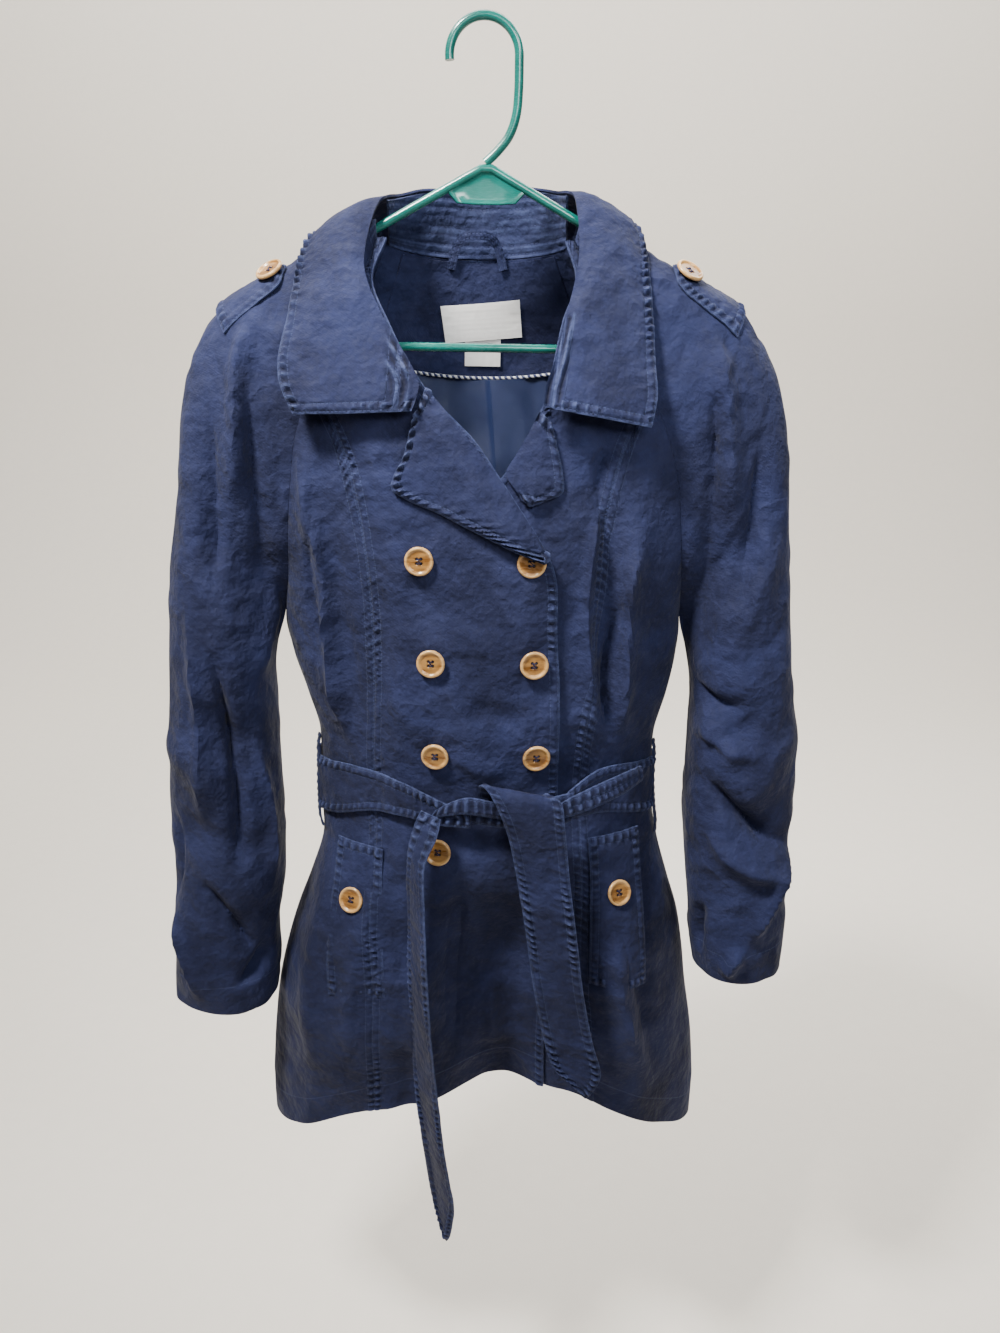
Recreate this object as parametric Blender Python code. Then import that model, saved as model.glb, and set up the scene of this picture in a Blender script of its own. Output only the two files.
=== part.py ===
"""Double-breasted trench coat with raglan sleeves, hanging on a moulded hanger.

World: metres, +Z up, the front faces -Y, the wearer's right side is at -X.
The origin is the inner top of the hanger's hook. The geometry functions work in
millimetres, and make_mesh() turns them into metres.
"""
import math

import bmesh
import bpy
import numpy as np

MM = 0.001

# Driving dimensions, in millimetres
WALL = 2.0            # thickness of the shell cloth
SEAM = 0.3            # gap between two pieces that are sewn together
OVERLAP_RISE = 5.9    # how far the right front stands off the left front under it
BELT_WIDTH = 50.0
BUTTON_RADIUS = 11.5
BUTTON_HEIGHT = 3.6
TUBE_RADIUS = 3.5     # of the hanger
HANGER_HALF = 200.0   # from the middle to the turn at each end
HANGER_SLOPE = 0.533  # fall of each arm
HANGER_APEX_Z = -97.0
HANGER_BAR_Z = -230.0
HANGER_TURN = 13.0

COLOURS = {
    "navy_cotton": ((0.022, 0.030, 0.085), 0.85),
    "lining_satin": ((0.090, 0.140, 0.360), 0.40),
    "label_tape": ((0.780, 0.760, 0.720), 0.70),
    "piping_cord": ((0.450, 0.460, 0.520), 0.70),
    "button_horn": ((0.480, 0.250, 0.080), 0.30),
    "hanger_plastic": ((0.006, 0.130, 0.105), 0.25),
}


def table(columns, *rows):
    """A dictionary with one array for each named column."""
    return dict(zip(columns.split(), np.array(rows, float).T))


# Level sections of the body. Right and left are where the front meets the side seam or, above the
# armpit, the raglan seam; front_y and back_y are the middle of each face.
BODY = table(
    "z     right left front_side front_y back_side back_y arc",
    (-925, -205, 219,    -4,      -94,     -4,      98,   88),
    (-870, -200, 213,    -4,      -98,     -4,      98,   88),
    (-813, -192, 203,    -4,     -100,     -4,      96,   88),
    (-772, -182, 197,    -4,      -99,     -4,      93,   88),
    (-737, -171, 190,    -4,      -97,     -4,      89,   88),
    (-700, -157, 178,    -4,      -93,     -4,      85,   88),
    (-660, -145, 166,    -4,      -86,     -4,      78,   88),
    (-632, -145, 160,    -4,      -80,     -4,      73,   88),
    (-607, -145, 157,    -4,      -77,     -4,      71,   88),
    (-579, -144, 156,    -4,      -78,     -4,      72,   88),
    (-553, -145, 157,    -4,      -81,     -4,      76,   88),
    (-520, -154, 165,    -4,      -84,     -4,      82,   88),
    (-485, -165, 171,    -4,      -84,     -4,      86,   86),
    (-450, -170, 172,    -5,      -83,     -5,      88,   84),
    (-410, -161, 167,   -30,      -81,     34,      89,   78),
    (-370, -157, 162,   -42,      -79,     50,      88,   72),
    (-330, -152, 156,   -47,      -76,     56,      86,   66),
    (-295, -146, 146,   -48,      -72,     57,      84,   62),
    (-262, -134, 130,   -46,      -66,     55,      80,   60),
    (-235, -121, 114,   -41,      -60,     51,      76,   60),
    (-208, -109,  99,   -34,      -52,     46,      71,   60),
    (-180,  -96,  84,   -24,      -42,     40,      66,   60),
    (-150,  -83,  69,   -14,      -32,     33,      60,   60))
ROW_Z = BODY["z"]
RAGLAN_Z = ROW_Z[::-1][:10]      # from the neck down to the armpit
ARMPIT_Z = RAGLAN_Z[-1]
SKIRT_TURN_Z = -760.0            # below here the rows stretch to the hem
NECK_TURN_Z = -235.0             # above here the back's rows stretch to the neck seam
BACK_NECK_DIP = 10.0

# Hem height across the front and the back
HEM = table(
    "s     front  back",
    (-1.0, -972, -972),
    (-0.7, -958, -975),
    (-0.3, -911, -968),
    (0.0, -888, -962),
    (0.3, -899, -968),
    (0.7, -955, -975),
    (1.0, -972, -972))

# Folds of the front and the back: a line from top to bottom, its half width and depth (outwards
# is positive); open 1 runs out at the hem, 0 dies away before its bottom end.
FRONT_FOLDS = table(
    "x_top z_top x_bottom z_bottom half depth open",
    (24, -640, 26, -925, 54, -46, 1),
    (-112, -640, -150, -925, 26, 10, 1),
    (-52, -650, -66, -925, 15, -8, 1),
    (112, -640, 152, -925, 26, 12, 1),
    (84, -640, 98, -925, 15, -8, 1),
    (-146, -300, -112, -560, 11, 6, 0),
    (-126, -330, -98, -570, 9, -5, 0),
    (108, -290, 97, -560, 11, -6, 0),
    (122, -330, 118, -560, 11, 6, 0))
BACK_FOLDS = table(
    "x_top z_top x_bottom z_bottom half depth open",
    (-60, -650, -84, -925, 24, 10, 1),
    (-22, -650, -34, -925, 18, -9, 1),
    (30, -650, 36, -925, 18, -9, 1),
    (66, -650, 92, -925, 24, 10, 1),
    (-96, -330, -78, -580, 18, 7, 0),
    (96, -330, 80, -580, 18, 7, 0))

# Seams and edges of the fronts as x at a height
PRINCESS = table(
    "z    right left",
    (-925, -96, 112),
    (-813, -92, 104),
    (-700, -90, 96),
    (-607, -90, 89),
    (-550, -89, 90),
    (-485, -87, 94),
    (-410, -89, 97),
    (-350, -97, 100),
    (-295, -112, 113),
    (-262, -131, 127))
FRONT_EDGE = table(
    "z    right left",
    (-925, 70, -46),
    (-607, 67, -46),
    (-450, 62, -46),
    (-390, 57, -45),
    (-350, 33, -8),
    (-322, 14, 17),
    (-295, -6, 34),
    (-262, -40, 49),
    (-235, -58, 54),
    (-208, -73, 60),
    (-180, -86, 70),
    (-150, -76, 62))

# Sleeve rings from the neck to the cuff. The first ten start on the raglan seam, so only their
# outer point is given; the rest are free ovals with an inner point on the underarm seam.
# The four reaches set how far each half bulges at its inner and outer end.
SLEEVE_COLUMNS = "in_x in_y in_z out_x out_y out_z front_in front_out back_in back_out"
SLEEVE_RIGHT = table(
    SLEEVE_COLUMNS,
    (0, 0, 0, 86, 2, -135, 4, 12, 4, 12),
    (0, 0, 0, 110, 1, -147, 6, 18, 6, 18),
    (0, 0, 0, 134, 0, -160, 8, 24, 8, 24),
    (0, 0, 0, 158, 0, -173, 10, 30, 10, 30),
    (0, 0, 0, 182, 0, -186, 12, 36, 12, 36),
    (0, 0, 0, 204, 0, -199, 14, 42, 14, 42),
    (0, 0, 0, 222, 0, -217, 18, 50, 18, 50),
    (0, 0, 0, 235, -1, -243, 24, 58, 24, 58),
    (0, 0, 0, 245, -3, -278, 30, 64, 24, 64),
    (0, 0, 0, 251, -6, -325, 48, 68, 38, 68),
    (178, -8, -480, 257, -9, -378, 70, 70, 70, 70),
    (182, -12, -518, 264, -12, -430, 70, 70, 72, 72),
    (181, -16, -562, 270, -15, -487, 69, 69, 72, 72),
    (179, -20, -608, 273, -18, -545, 68, 68, 70, 70),
    (178, -24, -655, 275, -21, -603, 66, 66, 68, 68),
    (180, -27, -700, 278, -24, -661, 64, 64, 66, 66),
    (186, -30, -740, 280, -27, -716, 62, 62, 64, 64),
    (187, -32, -779, 282, -30, -766, 60, 60, 62, 62),
    (190, -34, -815, 285, -32, -815, 58, 58, 60, 60))
SLEEVE_LEFT = table(
    SLEEVE_COLUMNS,
    (0, 0, 0, 74, 2, -129, 4, 12, 4, 12),
    (0, 0, 0, 98, 1, -141, 6, 18, 6, 18),
    (0, 0, 0, 124, 0, -155, 8, 24, 8, 24),
    (0, 0, 0, 149, 0, -168, 10, 30, 10, 30),
    (0, 0, 0, 174, 0, -182, 12, 36, 12, 36),
    (0, 0, 0, 198, 0, -195, 14, 42, 14, 42),
    (0, 0, 0, 215, 0, -212, 18, 50, 18, 50),
    (0, 0, 0, 232, -1, -240, 24, 58, 24, 58),
    (0, 0, 0, 244, -3, -280, 30, 64, 24, 64),
    (0, 0, 0, 252, -6, -326, 48, 68, 38, 68),
    (179, -8, -478, 257, -9, -376, 70, 70, 70, 70),
    (185, -12, -512, 260, -12, -426, 70, 70, 72, 72),
    (185, -16, -552, 268, -15, -480, 69, 69, 72, 72),
    (185, -20, -594, 276, -18, -536, 68, 68, 70, 70),
    (186, -24, -636, 280, -21, -590, 66, 66, 68, 68),
    (190, -27, -676, 280, -24, -643, 64, 64, 66, 66),
    (195, -30, -714, 281, -27, -690, 62, 62, 64, 64),
    (198, -32, -746, 283, -30, -733, 60, 60, 62, 62),
    (203, -34, -774, 284, -32, -770, 58, 58, 60, 60))
# The collar's fall: its line along the roll, its outer edge, and how the cloth between lifts.
# Rows run from the right front's gorge around the back to the left front's.
COLLAR = table(
    "roll_x roll_y roll_z edge_x edge_y edge_z lift_x lift_y lift_z",
    (-52, -84, -275, -142, -78, -279, 0, -5, 0),
    (-47, -78, -254, -152, -70, -258, 0, -6, 0),
    (-62, -68, -229, -154, -60, -236, 0, -8, 0),
    (-79, -56, -200, -150, -47, -211, -1, -9, 0),
    (-91, -36, -168, -147, -28, -184, -3, -9, 3),
    (-83, -6, -125, -140, 2, -151, -4, 0, 9),
    (-70, 28, -114, -112, 52, -158, -8, 10, 7),
    (-42, 50, -107, -64, 86, -184, -4, 13, 4),
    (-6, 60, -109, -6, 94, -189, 0, 14, 4),
    (30, 50, -105, 52, 86, -182, 4, 13, 4),
    (56, 28, -110, 98, 52, -154, 8, 10, 7),
    (68, -6, -119, 122, 2, -141, 4, 0, 9),
    (71, -36, -162, 128, -28, -180, 3, -9, 3),
    (63, -56, -200, 130, -47, -212, 1, -9, 0),
    (56, -68, -232, 131, -60, -240, 0, -8, 0),
    (48, -78, -256, 132, -72, -262, 0, -6, 0),
    (46, -84, -270, 128, -80, -284, 0, -5, 0))
STAND_START = 5.45    # place along the collar's rows where the stand begins; it ends alike
COLLAR_CLEAR = 5.0

# Lapels: the fold line, the outer edge and how far each stands off the front under it
LAPEL_COLUMNS = "fold_x fold_z edge_x edge_z fold_rise edge_rise"
LAPEL_RIGHT = table(
    LAPEL_COLUMNS,
    (-42, -258, -51, -279, 6, 4.6),
    (-22, -281, -60, -310, 6, 4),
    (-6, -299, -68, -334, 6, 4),
    (13, -322, -34, -350, 7, 4.5),
    (31, -347, 2, -367, 8, 5.5),
    (45, -368, 28, -379, 8.5, 8.5),
    (55, -384, 50, -388, 8.5, 8.5))
LAPEL_LEFT = table(
    LAPEL_COLUMNS,
    (44, -274, 54, -283, 4, 3),
    (35, -291, 59, -303, 4, 3),
    (26, -307, 63, -321, 4, 3),
    (19, -320, 63, -335, 3.5, 3),
    (26, -332, 50, -341, 3, 3),
    (34, -343, 39, -346, 3, 3))

# Belt: top and bottom edge of each stretch, and its rise off the cloth under it
BELT_COLUMNS = "x top bottom rise"
BELT_RIGHT = table(
    BELT_COLUMNS,
    (-141, -580, -632, 3.4),
    (-118, -575, -623, 3.2),
    (-92, -574, -613, 5),
    (-60, -577, -608, 8),
    (-30, -588, -611, 12),
    (-4, -598, -610, 16))
BELT_LEFT = table(
    BELT_COLUMNS,
    (153, -574, -625, 3.6),
    (128, -570, -617, 3.8),
    (104, -569, -611, 5),
    (86, -573, -608, 12),
    (70, -581, -605, 19))
BELT_BACK_TOP = -578.0
KNOT = table(
    "x    z     half_width half_depth",
    (-4.2, -603, 7.4, 9.6),
    (10, -598, 11, 9.5),
    (26, -594, 17, 12),
    (46, -592, 17, 12),
    (60, -593, 14, 9),
    (69, -594, 9, 6))
KNOT_Y = -99.5
TAIL_CLEAR = 4.5
TAIL_COLUMNS = "x y z half_width turn"
TAIL_WIDE = table(
    TAIL_COLUMNS,
    (45, -107, -609.6, 22.5, 4),
    (53, -113, -650, 22, 6),
    (63, -115, -700, 21.5, 8),
    (70, -117, -750, 21.5, 10),
    (79, -119, -800, 21.5, 8),
    (90, -122, -834, 21, 6),
    (96, -123, -852, 11, 6),
    (100, -123, -866, 1.5, 6))
TAIL_NARROW = table(
    TAIL_COLUMNS,
    (-2, -102.5, -610.6, 6, 20),
    (-24, -118, -626, 16, 45),
    (-45, -120, -655, 20, 55),
    (-52, -120, -700, 22, 58),
    (-48, -119, -790, 22, 58),
    (-46, -112, -880, 22, 60),
    (-42, -106, -950, 21, 60),
    (-34, -104, -1010, 20, 58),
    (-28, -103, -1040, 12, 58),
    (-26, -103, -1062, 1.5, 58))

BELT_LOOP = {"top": -560.0, "bottom": -650.0, "s": 0.9, "s_width": 0.05, "foot_rise": 2.4,
             "lift": 7.0}

# Inside the neck
FACING_WALL = 1.2
FACING_BOTTOM = -256.0
FACING_CURVE = 14.0
PIPING_RADIUS = 1.5
TAG_WALL = 0.9
LABEL = {"width": 66.0, "height": 34.0, "x": -4.0, "z": -206.0, "tilt": 6.0}
CARE_TAG = {"width": 31.0, "height": 52.0, "x": -3.0, "z": -220.0, "tilt": 0.0}
LOOP_X = -8.0
LOOP_HALF = 22.0
LOOP_RISE = 26.0
LOOP_FOOT_Z = -168.0
LOOP_FOOT_Y = 55.0
LOOP_Y = 46.0
LOOP_WIDTH = 7.0

WELT_COLUMNS = "x_front x_side z rise"
WELT_RIGHT = table(
    WELT_COLUMNS,
    (-79, -121, -645, 3.6),
    (-80, -123, -684, 3.6),
    (-80, -125, -724, 3.6),
    (-79, -125, -762, 3.6),
    (-79, -124, -784, 3.6))
WELT_LEFT = table(
    WELT_COLUMNS,
    (94, 139, -632, 3.6),
    (97, 142, -668, 3.6),
    (99, 144, -705, 3.6),
    (101, 145, -743, 3.6),
    (102, 145, -771, 3.6))

# Buttons on the fronts: place, and how far below the outer cloth's surface point they sit
FRONT_BUTTONS = table(
    "row x_right x_left z",
    (1, -47, 40, -388),
    (2, -38, 44, -470),
    (3, -35, 48, -551),
    (4, -33, 50, -640))
POCKET_BUTTONS = table("x z", (-108, -696), (122, -684))

# Epaulettes on the sleeves: rings and positions u of the front and back edge
EPAULETTE_RISE = 3.4
BUTTON_GAP = 0.35
EPAULETTE = table(
    "ring u_front u_back",
    (2.9, -0.16, -0.12),
    (3.25, -0.32, 0.05),
    (3.9, -0.34, 0.10),
    (4.6, -0.34, 0.12),
    (5.4, -0.33, 0.12))

ELBOW_FOLDS = table(
    "ring u_in u_out half depth",
    (12.2, -0.9, -0.3, 0.35, -6),
    (13.2, -0.6, 0.0, 0.35, 5),
    (14.2, -0.9, -0.2, 0.35, -5),
    (11.8, 0.2, 0.8, 0.4, -5),
    (13.6, 0.2, 0.8, 0.4, -5))
CUFF_RINGS = 18


def through(knots, values, at):
    """Smooth curve through the values at the knots, which may rise or fall (cubic Hermite)."""
    knots = np.asarray(knots, float)
    values = np.asarray(values, float)
    if knots[0] > knots[-1]:
        knots = knots[::-1]
        values = values[::-1]
    at = np.clip(np.asarray(at, float), knots[0], knots[-1])
    slopes = np.gradient(values, knots)
    i = np.clip(np.searchsorted(knots, at, side="right") - 1, 0, len(knots) - 2)
    step = knots[i + 1] - knots[i]
    t = (at - knots[i]) / step
    rise = values[i + 1] - values[i]
    ease = t * t * (3 - 2 * t)
    return (values[i] + ease * rise
            + step * (t * (1 - t) ** 2 * slopes[i] - t * t * (1 - t) * slopes[i + 1]))


def smoothstep(t):
    t = np.clip(t, 0, 1)
    return t * t * (3 - 2 * t)


def fold_lift(folds, x, z):
    """Sum of the folds' bell-shaped ridges and troughs at x, z."""
    lift = np.zeros(np.broadcast(x, z).shape)
    for x_top, z_top, x_bottom, z_bottom, half, depth, is_open in zip(*folds.values()):
        along = (z_top - z) / (z_top - z_bottom)
        centre = x_top + (x_bottom - x_top) * np.clip(along, 0, 1)
        fade = smoothstep(along / 0.4) * (1 - (1 - is_open) * smoothstep((along - 0.6) / 0.4))
        lift = lift + depth * fade * np.exp(-((x - centre) / half) ** 2)
    return lift


def row_height(face, s, z):
    """Height of a body row at s: the lowest rows reach the hem, the highest the neck seam."""
    hem = through(HEM["s"], HEM[face], s)
    low = np.clip((SKIRT_TURN_Z - z) / (SKIRT_TURN_Z - ROW_Z[0]), 0, 1)
    z = z + low * (hem - ROW_Z[0])
    if face == "back":
        high = np.clip((z - NECK_TURN_Z) / (ROW_Z[-1] - NECK_TURN_Z), 0, 1)
        z = z - high * BACK_NECK_DIP * (1 - s * s)
    return z


def section(face, z):
    """Middle x, half width, side y, middle y and arc of the body's section at z."""
    right = through(ROW_Z, BODY["right"], z)
    left = through(ROW_Z, BODY["left"], z)
    side_y = through(ROW_Z, BODY[face + "_side"], z)
    mid_y = through(ROW_Z, BODY[face + "_y"], z)
    arc = np.radians(through(ROW_Z, BODY["arc"], z))
    return (right + left) / 2, (left - right) / 2, side_y, mid_y, arc


def s_at(face, x, z):
    """Position s (-1 right side, +1 left side) of x on the section at z."""
    middle, half, _, _, arc = section(face, z)
    return np.arcsin(np.clip((x - middle) / half, -1, 1) * np.sin(arc)) / arc


def body_point(face, s, z, rise=0.0):
    """Point of the body at s on row z: an arc from side to side, plus the folds."""
    z_true = row_height(face, s, z)
    middle, half, side_y, mid_y, arc = section(face, z_true)
    x = middle + half * np.sin(arc * s) / np.sin(arc)
    bow = (np.cos(arc * s) - np.cos(arc)) / (1 - np.cos(arc))
    y = side_y + (mid_y - side_y) * bow
    outwards = -1 if face == "front" else 1
    folds = FRONT_FOLDS if face == "front" else BACK_FOLDS
    lift = fold_lift(folds, x, z_true) * smoothstep((1 - np.abs(s)) / 0.25) + rise
    # the outward direction turns from straight ahead at the middle to sideways at the side seam
    turn = s * np.radians(70) * smoothstep((ARMPIT_Z + 40 - z_true) / 80)
    return np.stack([x + lift * np.sin(turn), y + outwards * lift * np.cos(turn),
                     z_true + 0 * x], -1)


def front_rise(x, z):
    """Rise of the right front where it lies on the left front."""
    seam = through(PRINCESS["z"], PRINCESS["right"], z)
    return OVERLAP_RISE * smoothstep((x - seam) / 30.0)


def front_at(x, z, rise=0.0):
    """Point of the outer front, the right front on top, for an x and a row z."""
    x, z = np.broadcast_arrays(np.asarray(x, float), np.asarray(z, float))
    edge = through(FRONT_EDGE["z"], FRONT_EDGE["right"], z)
    own = np.where(x <= edge, front_rise(x, z), 0.0)
    return body_point("front", s_at("front", x, z), z, own + rise)


def sleeve_point(side, ring, u, rise=0.0):
    """Point of a sleeve: ring counts from the neck, u runs from -1 at the front seam over 0 at
    the overarm seam to 1 at the back seam, along a Bezier curve each."""
    rows = SLEEVE_RIGHT if side < 0 else SLEEVE_LEFT
    count = np.arange(len(rows["out_x"]), dtype=float)
    ring, u = np.broadcast_arrays(np.asarray(ring, float), np.asarray(u, float))
    edge_column = "right" if side < 0 else "left"
    points = {}
    for face in ("front", "back"):
        edge_x = through(ROW_Z, BODY[edge_column], RAGLAN_Z) * side
        edge_y = through(ROW_Z, BODY[face + "_side"], RAGLAN_Z)
        in_x = np.concatenate([edge_x, rows["in_x"][10:]])
        in_y = np.concatenate([edge_y, rows["in_y"][10:]])
        in_z = np.concatenate([RAGLAN_Z, rows["in_z"][10:]])
        points[face] = np.stack([through(count, c, ring) for c in (in_x, in_y, in_z)], -1)
    outer = np.stack([through(count, rows[c], ring) for c in ("out_x", "out_y", "out_z")], -1)
    inner = np.where((u < 0)[..., None], points["front"], points["back"])
    is_front = u < 0
    reach_in = np.where(is_front, -through(count, rows["front_in"], ring),
                        through(count, rows["back_in"], ring))
    reach_out = np.where(is_front, -through(count, rows["front_out"], ring),
                         through(count, rows["back_out"], ring))
    lean = 0.28 * (1 - smoothstep((ring - 8.2) / 3.3))
    t = np.abs(u)[..., None]
    forward = np.array([0.0, 1.0, 0.0])
    control_in = inner + lean[..., None] * (outer - inner) + reach_in[..., None] * forward
    control_out = outer + reach_out[..., None] * forward
    point = ((1 - t) ** 3 * outer + 3 * (1 - t) ** 2 * t * control_out
             + 3 * (1 - t) * t ** 2 * control_in + t ** 3 * inner)
    middle = (outer + inner) / 2
    outwards = point - middle
    outwards = outwards / np.maximum(np.linalg.norm(outwards, axis=-1, keepdims=True), 1)
    lift = rise + sleeve_folds(ring, u)
    point = point + lift[..., None] * outwards
    return point * np.array([side, 1, 1])


def sleeve_folds(ring, u):
    lift = np.zeros(ring.shape)
    for at_ring, u_in, u_out, half, depth in zip(*ELBOW_FOLDS.values()):
        across = smoothstep((u - u_in) / 0.2) * smoothstep((u_out - u) / 0.2)
        lift = lift + depth * across * np.exp(-((ring - at_ring) / half) ** 2)
    return lift


# --- meshes -------------------------------------------------------------------------------------


def make_material(name):
    colour, roughness = COLOURS[name]
    material = bpy.data.materials.new(name)
    material.use_nodes = True
    shader = material.node_tree.nodes["Principled BSDF"]
    shader.inputs["Base Color"].default_value = (*colour, 1)
    shader.inputs["Roughness"].default_value = roughness
    shader.inputs["Metallic"].default_value = 0
    return material


def make_mesh(name, points, faces, finish):
    """A named object, from points in millimetres, with its own material."""
    mesh = bpy.data.meshes.new(name)
    mesh.from_pydata((np.asarray(points) * MM).tolist(), [], faces)
    mesh.validate()
    piece = bpy.data.objects.new(name, mesh)
    bpy.context.collection.objects.link(piece)
    material = make_material(finish)
    material.name = name + "_" + finish
    mesh.materials.append(material)
    mesh.shade_smooth()
    mesh.set_sharp_from_angle(angle=math.radians(40))
    return piece


def grid_faces(rows, columns, flip=False):
    """The four-cornered faces of a grid of points; both ways round share their first corner."""
    faces = []
    for i in range(rows - 1):
        for j in range(columns - 1):
            a = i * columns + j
            beside, above, across = a + 1, a + columns, a + columns + 1
            faces.append((a, above, across, beside) if flip else (a, beside, across, above))
    return faces


def rim_loop(rows, columns):
    """The border of a grid, in the direction of its faces."""
    low = [j for j in range(columns)]
    right = [i * columns + columns - 1 for i in range(1, rows)]
    high = [(rows - 1) * columns + j for j in range(columns - 2, -1, -1)]
    left = [i * columns for i in range(rows - 2, 0, -1)]
    return low + right + high + left


def grid_normals(grid):
    """Face normals of a grid, one for each of its faces, not yet of unit length."""
    across = grid[:-1, 1:] - grid[:-1, :-1] + grid[1:, 1:] - grid[1:, :-1]
    along = grid[1:, :-1] - grid[:-1, :-1] + grid[1:, 1:] - grid[:-1, 1:]
    return np.cross(across, along)


def is_inside_out(grid, middle):
    """True where the grid's faces point towards the middle."""
    centres = (grid[:-1, :-1] + grid[1:, 1:]) / 2
    return np.sum(grid_normals(grid) * (centres - middle)) < 0


class Shell:
    """Panels that share their seams: each seam's wall has one direction for both panels."""

    def __init__(self):
        self.panels = []
        self.sums = {}

    @staticmethod
    def keys(grid):
        return [tuple(p) for p in np.round(grid.reshape(-1, 3) * 20).astype(int)]

    def add(self, name, grid, middle, trims, finish="navy_cotton", wall=WALL):
        """A grid of outer points; trims tells which of its four borders are sewn
        (first row, last row, first column, last column)."""
        flip = is_inside_out(grid, middle)
        self.panels.append((name, grid, trims, finish, wall, flip))
        normals = grid_normals(grid) * (-1 if flip else 1)
        total = np.zeros(grid.shape)
        for rows, columns in ((slice(0, -1), slice(0, -1)), (slice(1, None), slice(0, -1)),
                              (slice(0, -1), slice(1, None)), (slice(1, None), slice(1, None))):
            total[rows, columns] += normals
        for key, value in zip(self.keys(grid), total.reshape(-1, 3)):
            self.sums[key] = self.sums.get(key, 0) + value

    def build(self):
        for name, grid, trims, finish, wall, flip in self.panels:
            normals = np.array([self.sums[key] for key in self.keys(grid)]).reshape(grid.shape)
            normals /= np.linalg.norm(normals, axis=-1, keepdims=True)
            build_wall(name, grid, normals, wall, trims, finish, flip)


def pull_back(grid, border, distance):
    """Moves one border of a grid towards its inside, and leaves the seam's gap."""
    pairs = {0: ((0, slice(None)), (1, slice(None))), 1: ((-1, slice(None)), (-2, slice(None))),
             2: ((slice(None), 0), (slice(None), 1)), 3: ((slice(None), -1), (slice(None), -2))}
    edge, inner = pairs[border]
    inwards = grid[inner] - grid[edge]
    inwards /= np.linalg.norm(inwards, axis=-1, keepdims=True)
    moved = grid.copy()
    moved[edge] += distance * inwards
    return moved


def build_wall(name, grid, normals, wall, trims, finish, flip):
    """A closed cloth wall: the outer grid, the same points moved in, and a rim."""
    outer = grid
    inner = grid - wall * normals
    for border, is_sewn in enumerate(trims):
        if is_sewn:
            outer = pull_back(outer, border, SEAM / 2)
            inner = pull_back(inner, border, SEAM / 2)
    rows, columns = grid.shape[:2]
    count = rows * columns
    faces = grid_faces(rows, columns, flip)
    faces += [tuple(v + count for v in face) for face in grid_faces(rows, columns, not flip)]
    loop = rim_loop(rows, columns)
    if flip:
        loop = loop[::-1]
    for a, b in zip(loop, loop[1:] + loop[:1]):
        faces.append((b, a, a + count, b + count))
    points = np.concatenate([outer.reshape(-1, 3), inner.reshape(-1, 3)])
    return make_mesh(name, points, faces, finish)


def lone_wall(name, grid, middle, wall, finish="navy_cotton"):
    """A wall of a single grid, with no sewn border."""
    shell = Shell()
    shell.add(name, grid, middle, (0, 0, 0, 0), finish, wall)
    shell.build()


def spread(low, high, count):
    """Grid of values between two borders, a row for each pair."""
    t = np.linspace(0, 1, count)
    return np.asarray(low)[:, None] * (1 - t) + np.asarray(high)[:, None] * t


# --- body and sleeves ---------------------------------------------------------------------------


def front_columns(word):
    """Positions s of a front panel's columns, from the princess seam to the front edge. Where the
    fronts overlap, both have the same columns."""
    sewn = ROW_Z <= PRINCESS["z"][-1]
    seam = np.where(sewn, through(PRINCESS["z"], PRINCESS[word], ROW_Z),
                    through(ROW_Z, BODY[word], ROW_Z))
    edge = {w: through(FRONT_EDGE["z"], FRONT_EDGE[w], ROW_Z) for w in ("right", "left")}
    laps = edge["left"] < edge["right"]
    other = edge["left" if word == "right" else "right"]
    turn = np.where(laps, other, seam + 0.35 * (edge[word] - seam))
    x = np.concatenate([spread(seam, turn, 3), spread(turn, edge[word], 6)[:, 1:]], 1)
    return s_at("front", x, ROW_Z[:, None]), sewn


def add_body(shell):
    middle = np.array([0.0, 0.0, -500.0])
    z = ROW_Z[:, None]
    for side, word in ((-1, "right"), (1, "left")):
        s, sewn = front_columns(word)
        x = body_point("front", s, z + 0 * s)[..., 0]
        rise = OVERLAP_RISE * smoothstep((x - x[:, :1]) / 30.0) if word == "right" else 0.0
        shell.add("front_" + word, body_point("front", s, z + 0 * s, rise), middle, (0, 0, 1, 0))
        s = spread(np.full(sewn.sum(), float(side)), s[sewn, 0], 5)
        grid = body_point("front", s, z[sewn] + 0 * s)
        shell.add("side_front_" + word, grid, middle, (0, 0, 1, 1))
        s = spread(np.full(len(ROW_Z), min(side, 0.0)), np.full(len(ROW_Z), max(side, 0.0)), 8)
        shell.add("back_" + word, body_point("back", s, z + 0 * s), middle, (0, 1, 1, 1))


def add_sleeves(shell):
    rings = np.arange(CUFF_RINGS + 1, dtype=float)[:, None]
    for side, word in ((-1, "right"), (1, "left")):
        for face, u in (("front", np.linspace(-1, 0, 7)), ("back", np.linspace(1, 0, 7))):
            u = np.where(np.abs(u) < 1e-9, -1e-9 if face == "front" else 1e-9, u)
            grid = sleeve_point(side, rings, u[None, :])
            middle = (sleeve_point(side, rings, -1.0) + sleeve_point(side, rings, 1.0)
                      + 2 * sleeve_point(side, rings, 0.0))[:-1] / 4
            shell.add("sleeve_%s_%s" % (face, word), grid, middle, (1, 0, 1, 1))


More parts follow.
